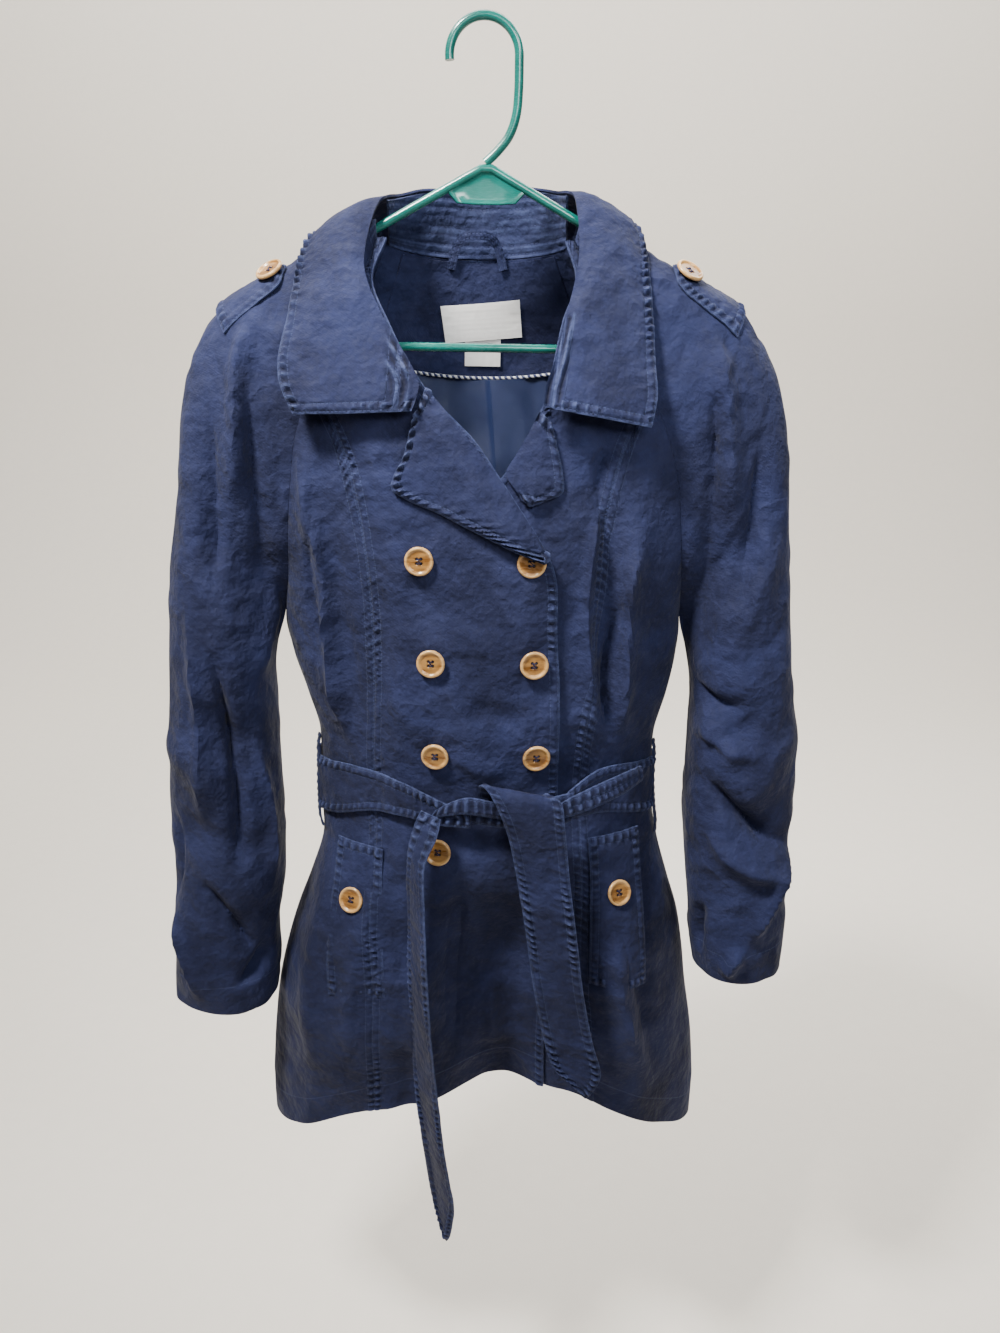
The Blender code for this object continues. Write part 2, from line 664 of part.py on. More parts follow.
def skin_samples():
    """Points of the outer cloth all over the front, to lay other pieces on."""
    z, s = np.meshgrid(np.arange(-915, -154, 6.0), np.linspace(-1, 1, 61), indexing="ij")
    points = body_point("front", s, z)
    own_x = points[..., 0]
    on_top = own_x <= through(FRONT_EDGE["z"], FRONT_EDGE["right"], z)
    points = body_point("front", s, z, np.where(on_top, front_rise(own_x, z), 0.0))
    chunks = [points.reshape(-1, 3)]
    ring, u = np.meshgrid(np.arange(0, 12, 0.2), np.linspace(-1, -0.02, 24), indexing="ij")
    for side in (-1, 1):
        chunks.append(sleeve_point(side, ring, u).reshape(-1, 3))
    return np.concatenate(chunks)


def back_samples():
    z, s = np.meshgrid(np.arange(-500, -154, 6.0), np.linspace(-1, 1, 61), indexing="ij")
    chunks = [body_point("back", s, z).reshape(-1, 3)]
    ring, u = np.meshgrid(np.arange(0, 12, 0.2), np.linspace(0.02, 1, 24), indexing="ij")
    for side in (-1, 1):
        chunks.append(sleeve_point(side, ring, u).reshape(-1, 3))
    return np.concatenate(chunks)


def skin_y(samples, x, z, spread_mm=4.0):
    """Depth y of the cloth at x, z: the samples' mean, weighted by a bell of their distance."""
    x = np.asarray(x, float)
    z = np.asarray(z, float)
    near = ((x.reshape(-1, 1) - samples[:, 0]) ** 2 + (z.reshape(-1, 1) - samples[:, 2]) ** 2)
    near = near - near.min(axis=1, keepdims=True)
    weight = np.exp(-near / (2 * spread_mm ** 2))
    return ((weight * samples[:, 1]).sum(1) / weight.sum(1)).reshape(x.shape)


def collar_rows(count, start=0.0, end=None):
    """The collar's table at evenly spaced places along it."""
    knots = np.arange(len(COLLAR["roll_x"]), dtype=float)
    at = np.linspace(start, knots[-1] if end is None else end, count)
    values = {name: through(knots, column, at) for name, column in COLLAR.items()}
    pick = lambda word: np.stack([values[word + "_" + axis] for axis in "xyz"], -1)
    return pick("roll"), pick("edge"), pick("lift")


def add_collar(front, back):
    roll, edge, lift = collar_rows(33)
    t = np.linspace(0, 1, 5)[None, :, None]
    start, end, rise = roll[:, None], edge[:, None], lift[:, None]
    control_in = start + 0.15 * (end - start) + rise
    control_out = start + 0.7 * (end - start) + 0.8 * rise
    grid = ((1 - t) ** 3 * start + 3 * (1 - t) ** 2 * t * control_in
            + 3 * (1 - t) * t ** 2 * control_out + t ** 3 * end)
    x, y, z = np.moveaxis(grid, -1, 0)
    ahead = np.minimum(y, skin_y(front, x, z) - COLLAR_CLEAR)
    behind = np.maximum(y, skin_y(back, x, z) + COLLAR_CLEAR)
    on_front = smoothstep((-y - 3) / 9)
    on_back = smoothstep((y - 9) / 9)
    grid[..., 1] = y + on_front * (ahead - y) + on_back * (behind - y)
    lone_wall("collar_fall", grid, np.array([-7.0, 10, -260]), WALL)


def add_stand():
    """The band between the back's neck seam and the underside of the collar's roll."""
    count = 15
    last = len(COLLAR["roll_x"]) - 1
    roll, _, _ = collar_rows(count, STAND_START, last - STAND_START)
    s = np.linspace(-0.93, 0.93, count)
    seam = body_point("back", s, np.full(count, ROW_Z[-1]))
    seam[:, 2] += 0.7
    top = roll - np.array([0, 0, WALL + 1.1])
    t = np.linspace(0, 1, 4)[None, :, None]
    lone_wall("collar_stand", seam[:, None] * (1 - t) + top[:, None] * t,
              np.array([-7.0, 0, -150]), WALL)


def add_lapels(front):
    for word, rows in (("right", LAPEL_RIGHT), ("left", LAPEL_LEFT)):
        knots = np.arange(len(rows["fold_x"]), dtype=float)
        at = np.linspace(0, knots[-1], 13)
        values = {name: through(knots, column, at)[:, None] for name, column in rows.items()}
        t = np.linspace(0, 1, 5)[None, :]
        x = values["fold_x"] * (1 - t) + values["edge_x"] * t
        z = values["fold_z"] * (1 - t) + values["edge_z"] * t
        rise = values["fold_rise"] * (1 - t) + values["edge_rise"] * t
        y = skin_y(front, x, z) - rise - 1.5 * np.sin(np.pi * t)
        lone_wall("lapel_" + word, np.stack([x, y, z], -1), np.array([0.0, 300, -300]), WALL)


def add_welts():
    for word, rows in (("right", WELT_RIGHT), ("left", WELT_LEFT)):
        t = np.linspace(0, 1, 4)[None, :]
        x = rows["x_front"][:, None] * (1 - t) + rows["x_side"][:, None] * t
        z = rows["z"][:, None] + 0 * t
        grid = front_at(x, z, rows["rise"][:, None])
        lone_wall("pocket_welt_" + word, grid, np.array([0.0, 300, -700]), WALL)


def add_belt():
    for word, rows in (("right", BELT_RIGHT), ("left", BELT_LEFT)):
        at = np.linspace(rows["x"][0], rows["x"][-1], 12)
        values = {name: through(rows["x"], column, at)[:, None] for name, column in rows.items()}
        t = np.linspace(0, 1, 4)[None, :]
        z = values["top"] * (1 - t) + values["bottom"] * t
        x = at[:, None] + 0 * t
        grid = front_at(x, z, values["rise"])
        lone_wall("belt_front_" + word, grid, np.array([0.0, 300, -590]), WALL)
    s = np.linspace(-0.96, 0.96, 23)[:, None]
    z = np.linspace(BELT_BACK_TOP, BELT_BACK_TOP - BELT_WIDTH, 4)[None, :]
    grid = body_point("back", s + 0 * z, z + 0 * s, 3.2)
    lone_wall("belt_back", grid, np.array([0.0, 0, -590]), WALL)


def add_tails(front):
    for name, rows, count in (("belt_tail_wide", TAIL_WIDE, 15), ("belt_tail_narrow", TAIL_NARROW, 14)):
        knots = np.arange(len(rows["x"]), dtype=float)
        at = np.linspace(0, knots[-1], count)
        values = {key: through(knots, column, at) for key, column in rows.items()}
        turn = np.radians(values["turn"])
        across = np.stack([np.cos(turn), -np.sin(turn), 0 * turn], -1)
        middle = np.stack([values["x"], values["y"], values["z"]], -1)
        t = np.linspace(-1, 1, 4)[None, :, None]
        grid = middle[:, None] + t * values["half_width"][:, None, None] * across[:, None]
        clear = skin_y(front, grid[..., 0], grid[..., 2]) - TAIL_CLEAR
        grid[..., 1] = np.minimum(grid[..., 1], clear)
        lone_wall(name, grid, np.array([0.0, 300, -750]), WALL)


def tube(path, radius, sides, closed=False):
    """Points and faces of a round bar along a path that nowhere runs along Y."""
    path = np.asarray(path, float)
    if closed:
        tangent = np.roll(path, -1, 0) - np.roll(path, 1, 0)
    else:
        tangent = np.gradient(path, axis=0)
    tangent /= np.linalg.norm(tangent, axis=1, keepdims=True)
    other = np.cross(tangent, np.array([0.0, 1.0, 0.0]))
    other /= np.linalg.norm(other, axis=1, keepdims=True)
    side = np.cross(other, tangent)
    angle = np.arange(sides) * 2 * np.pi / sides
    ring = (np.cos(angle)[None, :, None] * other[:, None]
            + np.sin(angle)[None, :, None] * side[:, None])
    points = (path[:, None] + radius * ring).reshape(-1, 3)
    faces = []
    count = len(path)
    for i in range(count if closed else count - 1):
        for j in range(sides):
            a, b = i * sides + j, i * sides + (j + 1) % sides
            c, d = ((i + 1) % count) * sides + (j + 1) % sides, ((i + 1) % count) * sides + j
            faces.append((a, b, c, d))
    if not closed:
        faces.append(tuple(range(sides))[::-1])
        faces.append(tuple((count - 1) * sides + j for j in range(sides)))
    return points, faces


def arc(centre_x, centre_z, radius, start, end, count):
    """Points of an arc in the plane y = 0, angles in degrees from +X towards +Z."""
    angle = np.radians(np.linspace(start, end, count))
    return [(centre_x + radius * math.cos(a), 0, centre_z + radius * math.sin(a)) for a in angle]


def outwards_mesh(name, points, faces, finish):
    """A closed mesh with its faces turned outwards."""
    piece = make_mesh(name, points, faces, finish)
    work = bmesh.new()
    work.from_mesh(piece.data)
    bmesh.ops.recalc_face_normals(work, faces=work.faces)
    work.to_mesh(piece.data)
    work.free()
    return piece


def add_hanger():
    """One moulding: the triangle, the hook that grows out of its top, and a web under the top."""
    slope = math.degrees(math.atan(HANGER_SLOPE))
    turn = HANGER_TURN
    end_z = HANGER_BAR_Z + turn
    path = [(0, 0, HANGER_APEX_Z)]
    path += [(HANGER_HALF * f, 0, HANGER_APEX_Z - HANGER_HALF * HANGER_SLOPE * f)
             for f in (0.2, 0.4, 0.6, 0.8, 0.95)]
    path += arc(HANGER_HALF - 8, end_z, turn, 90 - slope, -90, 6)
    path += [(HANGER_HALF * f, 0, HANGER_BAR_Z) for f in (0.6, 0.2, -0.2, -0.6)]
    path += arc(-HANGER_HALF + 8, end_z, turn, -90, -270 + slope, 6)
    path += [(-HANGER_HALF * f, 0, HANGER_APEX_Z - HANGER_HALF * HANGER_SLOPE * f)
             for f in (0.95, 0.8, 0.6, 0.4, 0.2)]
    points, faces = tube(path, TUBE_RADIUS, 8, closed=True)
    frame = outwards_mesh("hanger", points, faces, "hanger_plastic")
    hook = arc(-2.5, -22.5, 26.0, 188, 0, 11)
    hook += [(23.5, 0, -45), (22, 0, -62), (17, 0, -76), (8, 0, -87), (-1, 0, -95)]
    points, faces = tube(hook, TUBE_RADIUS, 8)
    add_in(frame, outwards_mesh("hook", points, faces, "hanger_plastic"))
    web = np.array([(-30, -114), (-22, -123), (22, -123), (30, -114), (1, -98)], float)
    thick = 1.5
    points = [(x, y, z) for y in (-thick, thick) for x, z in web]
    faces = [(0, 1, 2, 3, 4), (9, 8, 7, 6, 5)]
    faces += [(i, (i + 1) % 5, (i + 1) % 5 + 5, i + 5) for i in range(5)]
    add_in(frame, outwards_mesh("web", points, faces, "hanger_plastic"))


def add_in(piece, other):
    """Joins another closed shape to a piece."""
    union = piece.modifiers.new("join_" + other.name, "BOOLEAN")
    union.operation = "UNION"
    union.solver = "EXACT"
    union.object = other
    other.hide_render = True
    other.display_type = "WIRE"


def add_button(name, centre, normal):
    """A turned button: a disc with a raised rim and a dished face; its back lies on centre."""
    normal = np.asarray(normal, float)
    normal /= np.linalg.norm(normal)
    side = np.cross(normal, (0, 0, 1.0))
    side /= np.linalg.norm(side)
    up = np.cross(side, normal)
    sides = 10
    profile = ((0.86, 0.0), (1.0, 0.35), (1.0, 0.75), (0.88, 1.0), (0.68, 0.72))
    angle = np.arange(sides) * 2 * np.pi / sides
    ring = np.cos(angle)[:, None] * side + np.sin(angle)[:, None] * up
    points = np.concatenate([centre + r * BUTTON_RADIUS * ring + h * BUTTON_HEIGHT * normal
                             for r, h in profile])
    faces = [tuple(range(sides)), tuple((len(profile) - 1) * sides + j for j in range(sides))]
    for i in range(len(profile) - 1):
        for j in range(sides):
            a, b = i * sides + j, i * sides + (j + 1) % sides
            faces.append((a, b, b + sides, a + sides))
    outwards_mesh(name, points, faces, "button_horn")


def seat_on(samples, centre, normal, reach):
    """Moves a centre out along its normal until a disc there clears all samples under it."""
    offset = samples - centre
    height = offset @ normal
    flat = np.linalg.norm(offset - height[:, None] * normal, axis=1)
    under = (flat < reach) & (np.abs(height) < 12)
    top = height[under].max() if under.any() else 0.0
    return centre + max(top, 0.0) * normal


def add_buttons(front):
    for row, x_right, x_left, z in zip(*FRONT_BUTTONS.values()):
        for x, word in ((x_right, "right"), (x_left, "left")):
            place_front_button("button_front_%d_%s" % (row, word), x, z, front, BUTTON_GAP)
    for (x, z), word in zip(zip(*POCKET_BUTTONS.values()), ("right", "left")):
        place_front_button("button_pocket_" + word, x, z, front, BUTTON_GAP + 3.2)
    for side, word in ((-1, "right"), (1, "left")):
        ring, u = 3.35, -0.14
        step = 0.05
        centre = sleeve_point(side, ring, u, EPAULETTE_RISE)
        along = sleeve_point(side, ring + step, u, EPAULETTE_RISE) - centre
        across = sleeve_point(side, ring, u - step, EPAULETTE_RISE) - centre
        normal = np.cross(along, across) * side
        normal /= np.linalg.norm(normal)
        if normal[2] < 0:
            normal = -normal
        add_button("button_epaulette_" + word, centre + BUTTON_GAP * normal, normal)


def place_front_button(name, x, z, front, gap):
    step = 6.0
    centre = np.array([x, float(skin_y(front, x, z)), z])
    slope_x = float(skin_y(front, x + step, z) - skin_y(front, x - step, z)) / (2 * step)
    slope_z = float(skin_y(front, x, z + step) - skin_y(front, x, z - step)) / (2 * step)
    normal = np.array([slope_x, -1.0, slope_z])
    normal /= np.linalg.norm(normal)
    add_button(name, seat_on(front, centre, normal, BUTTON_RADIUS) + gap * normal, normal)


def add_epaulettes():
    rows = EPAULETTE
    at = np.linspace(0, len(rows["ring"]) - 1, 9)
    knots = np.arange(len(rows["ring"]), dtype=float)
    ring = through(knots, rows["ring"], at)[:, None]
    t = np.linspace(0, 1, 6)[None, :]
    u = (through(knots, rows["u_front"], at)[:, None] * (1 - t)
         + through(knots, rows["u_back"], at)[:, None] * t)
    for side, word in ((-1, "right"), (1, "left")):
        grid = sleeve_point(side, ring + 0 * t, u, EPAULETTE_RISE)
        middle = sleeve_point(side, 4.0, -0.1) - np.array([0, 0, 60])
        lone_wall("epaulette_" + word, grid, middle, WALL)


def add_inside():
    """What shows in the neck: facing, piping, loop, label, care tag and the back's lining."""
    toward = np.array([0.0, 300.0, -200.0])
    edge = 5 / 7
    s = np.linspace(-edge, edge, 11)[:, None]
    bottom = FACING_BOTTOM + FACING_CURVE * (s / edge) ** 2
    facing_depth = WALL + 1.2 + FACING_WALL
    neck_rows = ROW_Z[(ROW_Z > bottom.max() + 5) & (ROW_Z < ROW_Z[-1])]
    rows = np.concatenate([neck_rows, [ROW_Z[-1] - 3]])[None, :] + 0 * s
    rows = np.concatenate([bottom, rows], 1)
    lone_wall("back_neck_facing", body_point("back", s + 0 * rows, rows, -facing_depth), toward,
              FACING_WALL)
    lining_rows = ROW_Z[(ROW_Z < FACING_BOTTOM - 20) & (ROW_Z >= ARMPIT_Z)]
    rows = np.concatenate([lining_rows[None, :] + 0 * s, bottom - 1.2], 1)
    lone_wall("lining_back", body_point("back", s + 0 * rows, rows, -facing_depth - 0.4), toward,
              FACING_WALL, "lining_satin")
    path = body_point("back", s[:, 0], bottom[:, 0], -facing_depth - PIPING_RADIUS - SEAM)
    points, faces = tube(path, PIPING_RADIUS, 6)
    outwards_mesh("facing_piping", points, faces, "piping_cord")
    across, down = np.meshgrid(np.linspace(-1, 1, 6), np.linspace(-1, 1, 4), indexing="ij")
    for name, tag, depth in (("care_tag", CARE_TAG, 1.5), ("neck_label", LABEL, 3.0)):
        tilt = math.radians(tag["tilt"])
        a = across * tag["width"] / 2
        b = down * tag["height"] / 2
        x = tag["x"] + a * math.cos(tilt) - b * math.sin(tilt)
        z = tag["z"] + a * math.sin(tilt) + b * math.cos(tilt)
        on_back = body_point("back", s_at("back", x, z), z, -facing_depth - depth)
        lone_wall(name, on_back, toward, TAG_WALL, "label_tape")
    turn = np.linspace(-1, 1, 9)
    arch = np.stack([LOOP_X + LOOP_HALF * np.sign(turn) * np.abs(turn) ** 0.7, 0 * turn,
                     LOOP_FOOT_Z + LOOP_RISE * (1 - np.abs(turn) ** 3)], -1)
    arch[:, 1] = LOOP_Y + (LOOP_FOOT_Y - LOOP_Y) * np.abs(turn) ** 2
    tangent = np.gradient(arch, axis=0)
    normal = np.stack([-tangent[:, 2], 0 * turn, tangent[:, 0]], -1)
    normal /= np.linalg.norm(normal, axis=1, keepdims=True)
    t = np.linspace(-0.5, 0.5, 2)[None, :, None]
    lone_wall("hanging_loop", arch[:, None] + t * LOOP_WIDTH * normal[:, None], toward, 1.2)


def add_knot():
    """The belt's knot, a plain lump of its reach: oval sections along X."""
    rows = KNOT
    at = np.linspace(rows["x"][0], rows["x"][-1], 9)
    sides = 12
    angle = np.arange(sides) * 2 * np.pi / sides
    points = []
    for x in at:
        half_z = float(through(rows["x"], rows["half_width"], x))
        half_y = float(through(rows["x"], rows["half_depth"], x))
        z = float(through(rows["x"], rows["z"], x))
        points += [(x, KNOT_Y + half_y * math.cos(a), z + half_z * math.sin(a)) for a in angle]
    faces = [tuple(range(sides)), tuple((len(at) - 1) * sides + j for j in range(sides))]
    for i in range(len(at) - 1):
        for j in range(sides):
            a, b = i * sides + j, i * sides + (j + 1) % sides
            faces.append((a, b, b + sides, a + sides))
    outwards_mesh("belt_knot", points, faces, "navy_cotton")


def add_belt_loops():
    for side, word in ((-1, "right"), (1, "left")):
        z = np.linspace(BELT_LOOP["top"], BELT_LOOP["bottom"], 9)[:, None]
        t = np.linspace(-1, 1, 9)[:, None]
        rise = BELT_LOOP["foot_rise"] + BELT_LOOP["lift"] * smoothstep((1 - np.abs(t)) / 0.3)
        s = side * (BELT_LOOP["s"] + np.array([[-0.5, 0.5]]) * BELT_LOOP["s_width"])
        grid = body_point("front", s + 0 * z, z + 0 * s, rise + 0 * s)
        lone_wall("belt_loop_" + word, grid, np.array([0.0, 0, -580]), WALL)


def main():
    for old in list(bpy.data.objects):
        bpy.data.objects.remove(old)
    shell = Shell()
    add_body(shell)
    add_sleeves(shell)
    shell.build()
    front = skin_samples()
    back = back_samples()
    add_collar(front, back)
    add_stand()
    add_lapels(front)
    add_epaulettes()
    add_welts()
    add_belt()
    add_belt_loops()
    add_knot()
    add_tails(front)
    add_inside()
    add_buttons(front)
    add_hanger()


main()
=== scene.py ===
"""The looks of the double-breasted trench coat on its hanger.

Every cloth piece is a thin closed wall on a grid of points. The surface of a piece is a table of
sections joined by smooth curves, plus bell-shaped folds, plus what its seams do to it: the seam
pulls the cloth in, the seam allowance swells beside it, and along the seam the cloth puckers in an
uneven wave. The geometry functions work in millimetres.
"""
import math

import bpy
import numpy as np
from mathutils import Matrix


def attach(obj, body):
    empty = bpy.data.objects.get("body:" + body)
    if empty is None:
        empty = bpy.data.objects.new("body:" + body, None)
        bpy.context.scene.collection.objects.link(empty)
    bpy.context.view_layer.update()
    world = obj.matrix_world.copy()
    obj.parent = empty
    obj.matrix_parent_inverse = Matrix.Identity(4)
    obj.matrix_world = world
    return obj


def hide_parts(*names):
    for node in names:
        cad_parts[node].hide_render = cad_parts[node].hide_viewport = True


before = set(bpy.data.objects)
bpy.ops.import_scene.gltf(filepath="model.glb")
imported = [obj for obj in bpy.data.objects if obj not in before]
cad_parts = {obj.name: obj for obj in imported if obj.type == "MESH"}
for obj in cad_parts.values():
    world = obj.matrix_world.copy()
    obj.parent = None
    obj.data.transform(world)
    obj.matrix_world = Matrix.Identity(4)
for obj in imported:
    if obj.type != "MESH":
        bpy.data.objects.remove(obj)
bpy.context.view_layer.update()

MM = 0.001

# Driving dimensions, in millimetres
WALL = 2.0            # thickness of the shell cloth
RIGHT_LEFT = ((-1, "right"), (1, "left"))   # the wearer's right lies at -X
SEAM = 0.3            # gap between two pieces that are sewn together
OVERLAP_RISE = 5.9    # how far the right front stands off the left front under it
BELT_WIDTH = 50.0
BUTTON_RADIUS = 11.5
BUTTON_HEIGHT = 3.6
TUBE_RADIUS = 3.5     # of the hanger
HANGER_HALF = 200.0   # from the middle to the turn at each end
HANGER_SLOPE = 0.533  # fall of each arm
HANGER_APEX_Z = -97.0
HANGER_BAR_Z = -230.0
HANGER_TURN = 13.0


def table(columns, *rows):
    """A dictionary with one array for each named column."""
    return dict(zip(columns.split(), np.array(rows, float).T))


# Level sections of the body. Right and left are where the front meets the side seam or, above the
# armpit, the raglan seam; front_y and back_y are the middle of each face.
BODY = table(
    "z     right left front_side front_y back_side back_y arc",
    (-925, -205, 219,    -4,      -94,     -4,      98,   88),
    (-870, -200, 213,    -4,      -98,     -4,      98,   88),
    (-813, -192, 203,    -4,     -100,     -4,      96,   88),
    (-772, -182, 197,    -4,      -99,     -4,      93,   88),
    (-737, -171, 190,    -4,      -97,     -4,      89,   88),
    (-700, -157, 178,    -4,      -93,     -4,      85,   88),
    (-660, -145, 166,    -4,      -86,     -4,      78,   88),
    (-632, -145, 160,    -4,      -80,     -4,      73,   88),
    (-607, -145, 157,    -4,      -77,     -4,      71,   88),
    (-579, -144, 156,    -4,      -78,     -4,      72,   88),
    (-553, -145, 157,    -4,      -81,     -4,      76,   88),
    (-520, -154, 165,    -4,      -84,     -4,      82,   88),
    (-485, -165, 171,    -4,      -84,     -4,      86,   86),
    (-450, -170, 172,    -5,      -83,     -5,      88,   84),
    (-410, -161, 167,   -30,      -81,     34,      89,   78),
    (-370, -157, 162,   -42,      -79,     50,      88,   72),
    (-330, -152, 156,   -47,      -76,     56,      86,   66),
    (-295, -146, 146,   -48,      -72,     57,      84,   62),
    (-262, -134, 130,   -46,      -66,     55,      80,   60),
    (-235, -121, 114,   -41,      -60,     51,      76,   60),
    (-208, -109,  99,   -34,      -52,     46,      71,   60),
    (-180,  -96,  84,   -24,      -42,     40,      66,   60),
    (-150,  -83,  69,   -14,      -32,     33,      60,   60))
ROW_Z = BODY["z"]
RAGLAN_Z = ROW_Z[::-1][:10]      # from the neck down to the armpit
ARMPIT_Z = RAGLAN_Z[-1]
SKIRT_TURN_Z = -760.0            # below here the rows stretch to the hem
NECK_TURN_Z = -235.0             # above here the back's rows stretch to the neck seam
BACK_NECK_DIP = 10.0

# Hem height across the front and the back
HEM = table(
    "s     front  back",
    (-1.0, -972, -972),
    (-0.7, -958, -975),
    (-0.3, -911, -968),
    (0.0, -888, -962),
    (0.3, -899, -968),
    (0.7, -955, -975),
    (1.0, -972, -972))

# Folds of the front and the back: a line from top to bottom, its half width and depth (outwards
# is positive); open 1 runs out at the hem, 0 dies away before its bottom end.
FRONT_FOLDS = table(
    "x_top z_top x_bottom z_bottom half depth open",
    (24, -640, 26, -925, 54, -46, 1),
    (-112, -640, -150, -925, 26, 10, 1),
    (-52, -650, -66, -925, 15, -8, 1),
    (112, -640, 152, -925, 26, 12, 1),
    (84, -640, 98, -925, 15, -8, 1),
    (-146, -300, -112, -560, 11, 6, 0),
    (-126, -330, -98, -570, 9, -5, 0),
    (108, -290, 97, -560, 11, -6, 0),
    (122, -330, 118, -560, 11, 6, 0))
BACK_FOLDS = table(
    "x_top z_top x_bottom z_bottom half depth open",
    (-60, -650, -84, -925, 24, 10, 1),
    (-22, -650, -34, -925, 18, -9, 1),
    (30, -650, 36, -925, 18, -9, 1),
    (66, -650, 92, -925, 24, 10, 1),
    (-96, -330, -78, -580, 18, 7, 0),
    (96, -330, 80, -580, 18, 7, 0))

# Seams and edges of the fronts as x at a height
PRINCESS = table(
    "z    right left",
    (-925, -96, 112),
    (-813, -92, 104),
    (-700, -90, 96),
    (-607, -90, 89),
    (-550, -89, 90),
    (-485, -87, 94),
    (-410, -89, 97),
    (-350, -97, 100),
    (-295, -112, 113),
    (-262, -131, 127))
FRONT_EDGE = table(
    "z    right left",
    (-925, 70, -46),
    (-607, 67, -46),
    (-450, 62, -46),
    (-390, 57, -45),
    (-350, 33, -8),
    (-322, 14, 17),
    (-295, -6, 34),
    (-262, -40, 49),
    (-235, -58, 54),
    (-208, -73, 60),
    (-180, -86, 70),
    (-150, -76, 62))

# Sleeve rings from the neck to the cuff. The first ten start on the raglan seam, so only their
# outer point is given; the rest are free ovals with an inner point on the underarm seam.
# The four reaches set how far each half bulges at its inner and outer end.
SLEEVE_COLUMNS = "in_x in_y in_z out_x out_y out_z front_in front_out back_in back_out"
SLEEVE_RIGHT = table(
    SLEEVE_COLUMNS,
    (0, 0, 0, 86, 2, -135, 4, 12, 4, 12),
    (0, 0, 0, 110, 1, -147, 6, 18, 6, 18),
    (0, 0, 0, 134, 0, -160, 8, 24, 8, 24),
    (0, 0, 0, 158, 0, -173, 10, 30, 10, 30),
    (0, 0, 0, 182, 0, -186, 12, 36, 12, 36),
    (0, 0, 0, 204, 0, -199, 14, 42, 14, 42),
    (0, 0, 0, 222, 0, -217, 18, 50, 18, 50),
    (0, 0, 0, 235, -1, -243, 24, 58, 24, 58),
    (0, 0, 0, 245, -3, -278, 30, 64, 24, 64),
    (0, 0, 0, 251, -6, -325, 48, 68, 38, 68),
    (178, -8, -480, 257, -9, -378, 70, 70, 70, 70),
    (182, -12, -518, 264, -12, -430, 70, 70, 72, 72),
    (181, -16, -562, 270, -15, -487, 69, 69, 72, 72),
    (179, -20, -608, 273, -18, -545, 68, 68, 70, 70),
    (178, -24, -655, 275, -21, -603, 66, 66, 68, 68),
    (180, -27, -700, 278, -24, -661, 64, 64, 66, 66),
    (186, -30, -740, 280, -27, -716, 62, 62, 64, 64),
    (187, -32, -779, 282, -30, -766, 60, 60, 62, 62),
    (190, -34, -815, 285, -32, -815, 58, 58, 60, 60))
SLEEVE_LEFT = table(
    SLEEVE_COLUMNS,
    (0, 0, 0, 74, 2, -129, 4, 12, 4, 12),
    (0, 0, 0, 98, 1, -141, 6, 18, 6, 18),
    (0, 0, 0, 124, 0, -155, 8, 24, 8, 24),
    (0, 0, 0, 149, 0, -168, 10, 30, 10, 30),
    (0, 0, 0, 174, 0, -182, 12, 36, 12, 36),
    (0, 0, 0, 198, 0, -195, 14, 42, 14, 42),
    (0, 0, 0, 215, 0, -212, 18, 50, 18, 50),
    (0, 0, 0, 232, -1, -240, 24, 58, 24, 58),
    (0, 0, 0, 244, -3, -280, 30, 64, 24, 64),
    (0, 0, 0, 252, -6, -326, 48, 68, 38, 68),
    (179, -8, -478, 257, -9, -376, 70, 70, 70, 70),
    (185, -12, -512, 260, -12, -426, 70, 70, 72, 72),
    (185, -16, -552, 268, -15, -480, 69, 69, 72, 72),
    (185, -20, -594, 276, -18, -536, 68, 68, 70, 70),
    (186, -24, -636, 280, -21, -590, 66, 66, 68, 68),
    (190, -27, -676, 280, -24, -643, 64, 64, 66, 66),
    (195, -30, -714, 281, -27, -690, 62, 62, 64, 64),
    (198, -32, -746, 283, -30, -733, 60, 60, 62, 62),
    (203, -34, -774, 284, -32, -770, 58, 58, 60, 60))
# The collar's fall: its line along the roll, its outer edge, and how the cloth between lifts.
# Rows run from the right front's gorge around the back to the left front's.
COLLAR = table(
    "roll_x roll_y roll_z edge_x edge_y edge_z lift_x lift_y lift_z",
    (-52, -84, -275, -142, -78, -279, 0, -5, 0),
    (-47, -78, -254, -152, -70, -258, 0, -6, 0),
    (-62, -68, -229, -154, -60, -236, 0, -8, 0),
    (-79, -56, -200, -150, -47, -211, -1, -9, 0),
    (-91, -36, -168, -147, -28, -184, -3, -9, 3),
    (-83, -6, -125, -140, 2, -151, -4, 0, 9),
    (-70, 28, -114, -112, 52, -158, -8, 10, 7),
    (-42, 50, -107, -64, 86, -184, -4, 13, 4),
    (-6, 60, -109, -6, 94, -189, 0, 14, 4),
    (30, 50, -105, 52, 86, -182, 4, 13, 4),
    (56, 28, -110, 98, 52, -154, 8, 10, 7),
    (68, -6, -119, 122, 2, -141, 4, 0, 9),
    (71, -36, -162, 128, -28, -180, 3, -9, 3),
    (63, -56, -200, 130, -47, -212, 1, -9, 0),
    (56, -68, -232, 131, -60, -240, 0, -8, 0),
    (48, -78, -256, 132, -72, -262, 0, -6, 0),
    (46, -84, -270, 128, -80, -284, 0, -5, 0))
STAND_START = 5.45    # place along the collar's rows where the stand begins; it ends alike
COLLAR_CLEAR = 5.0

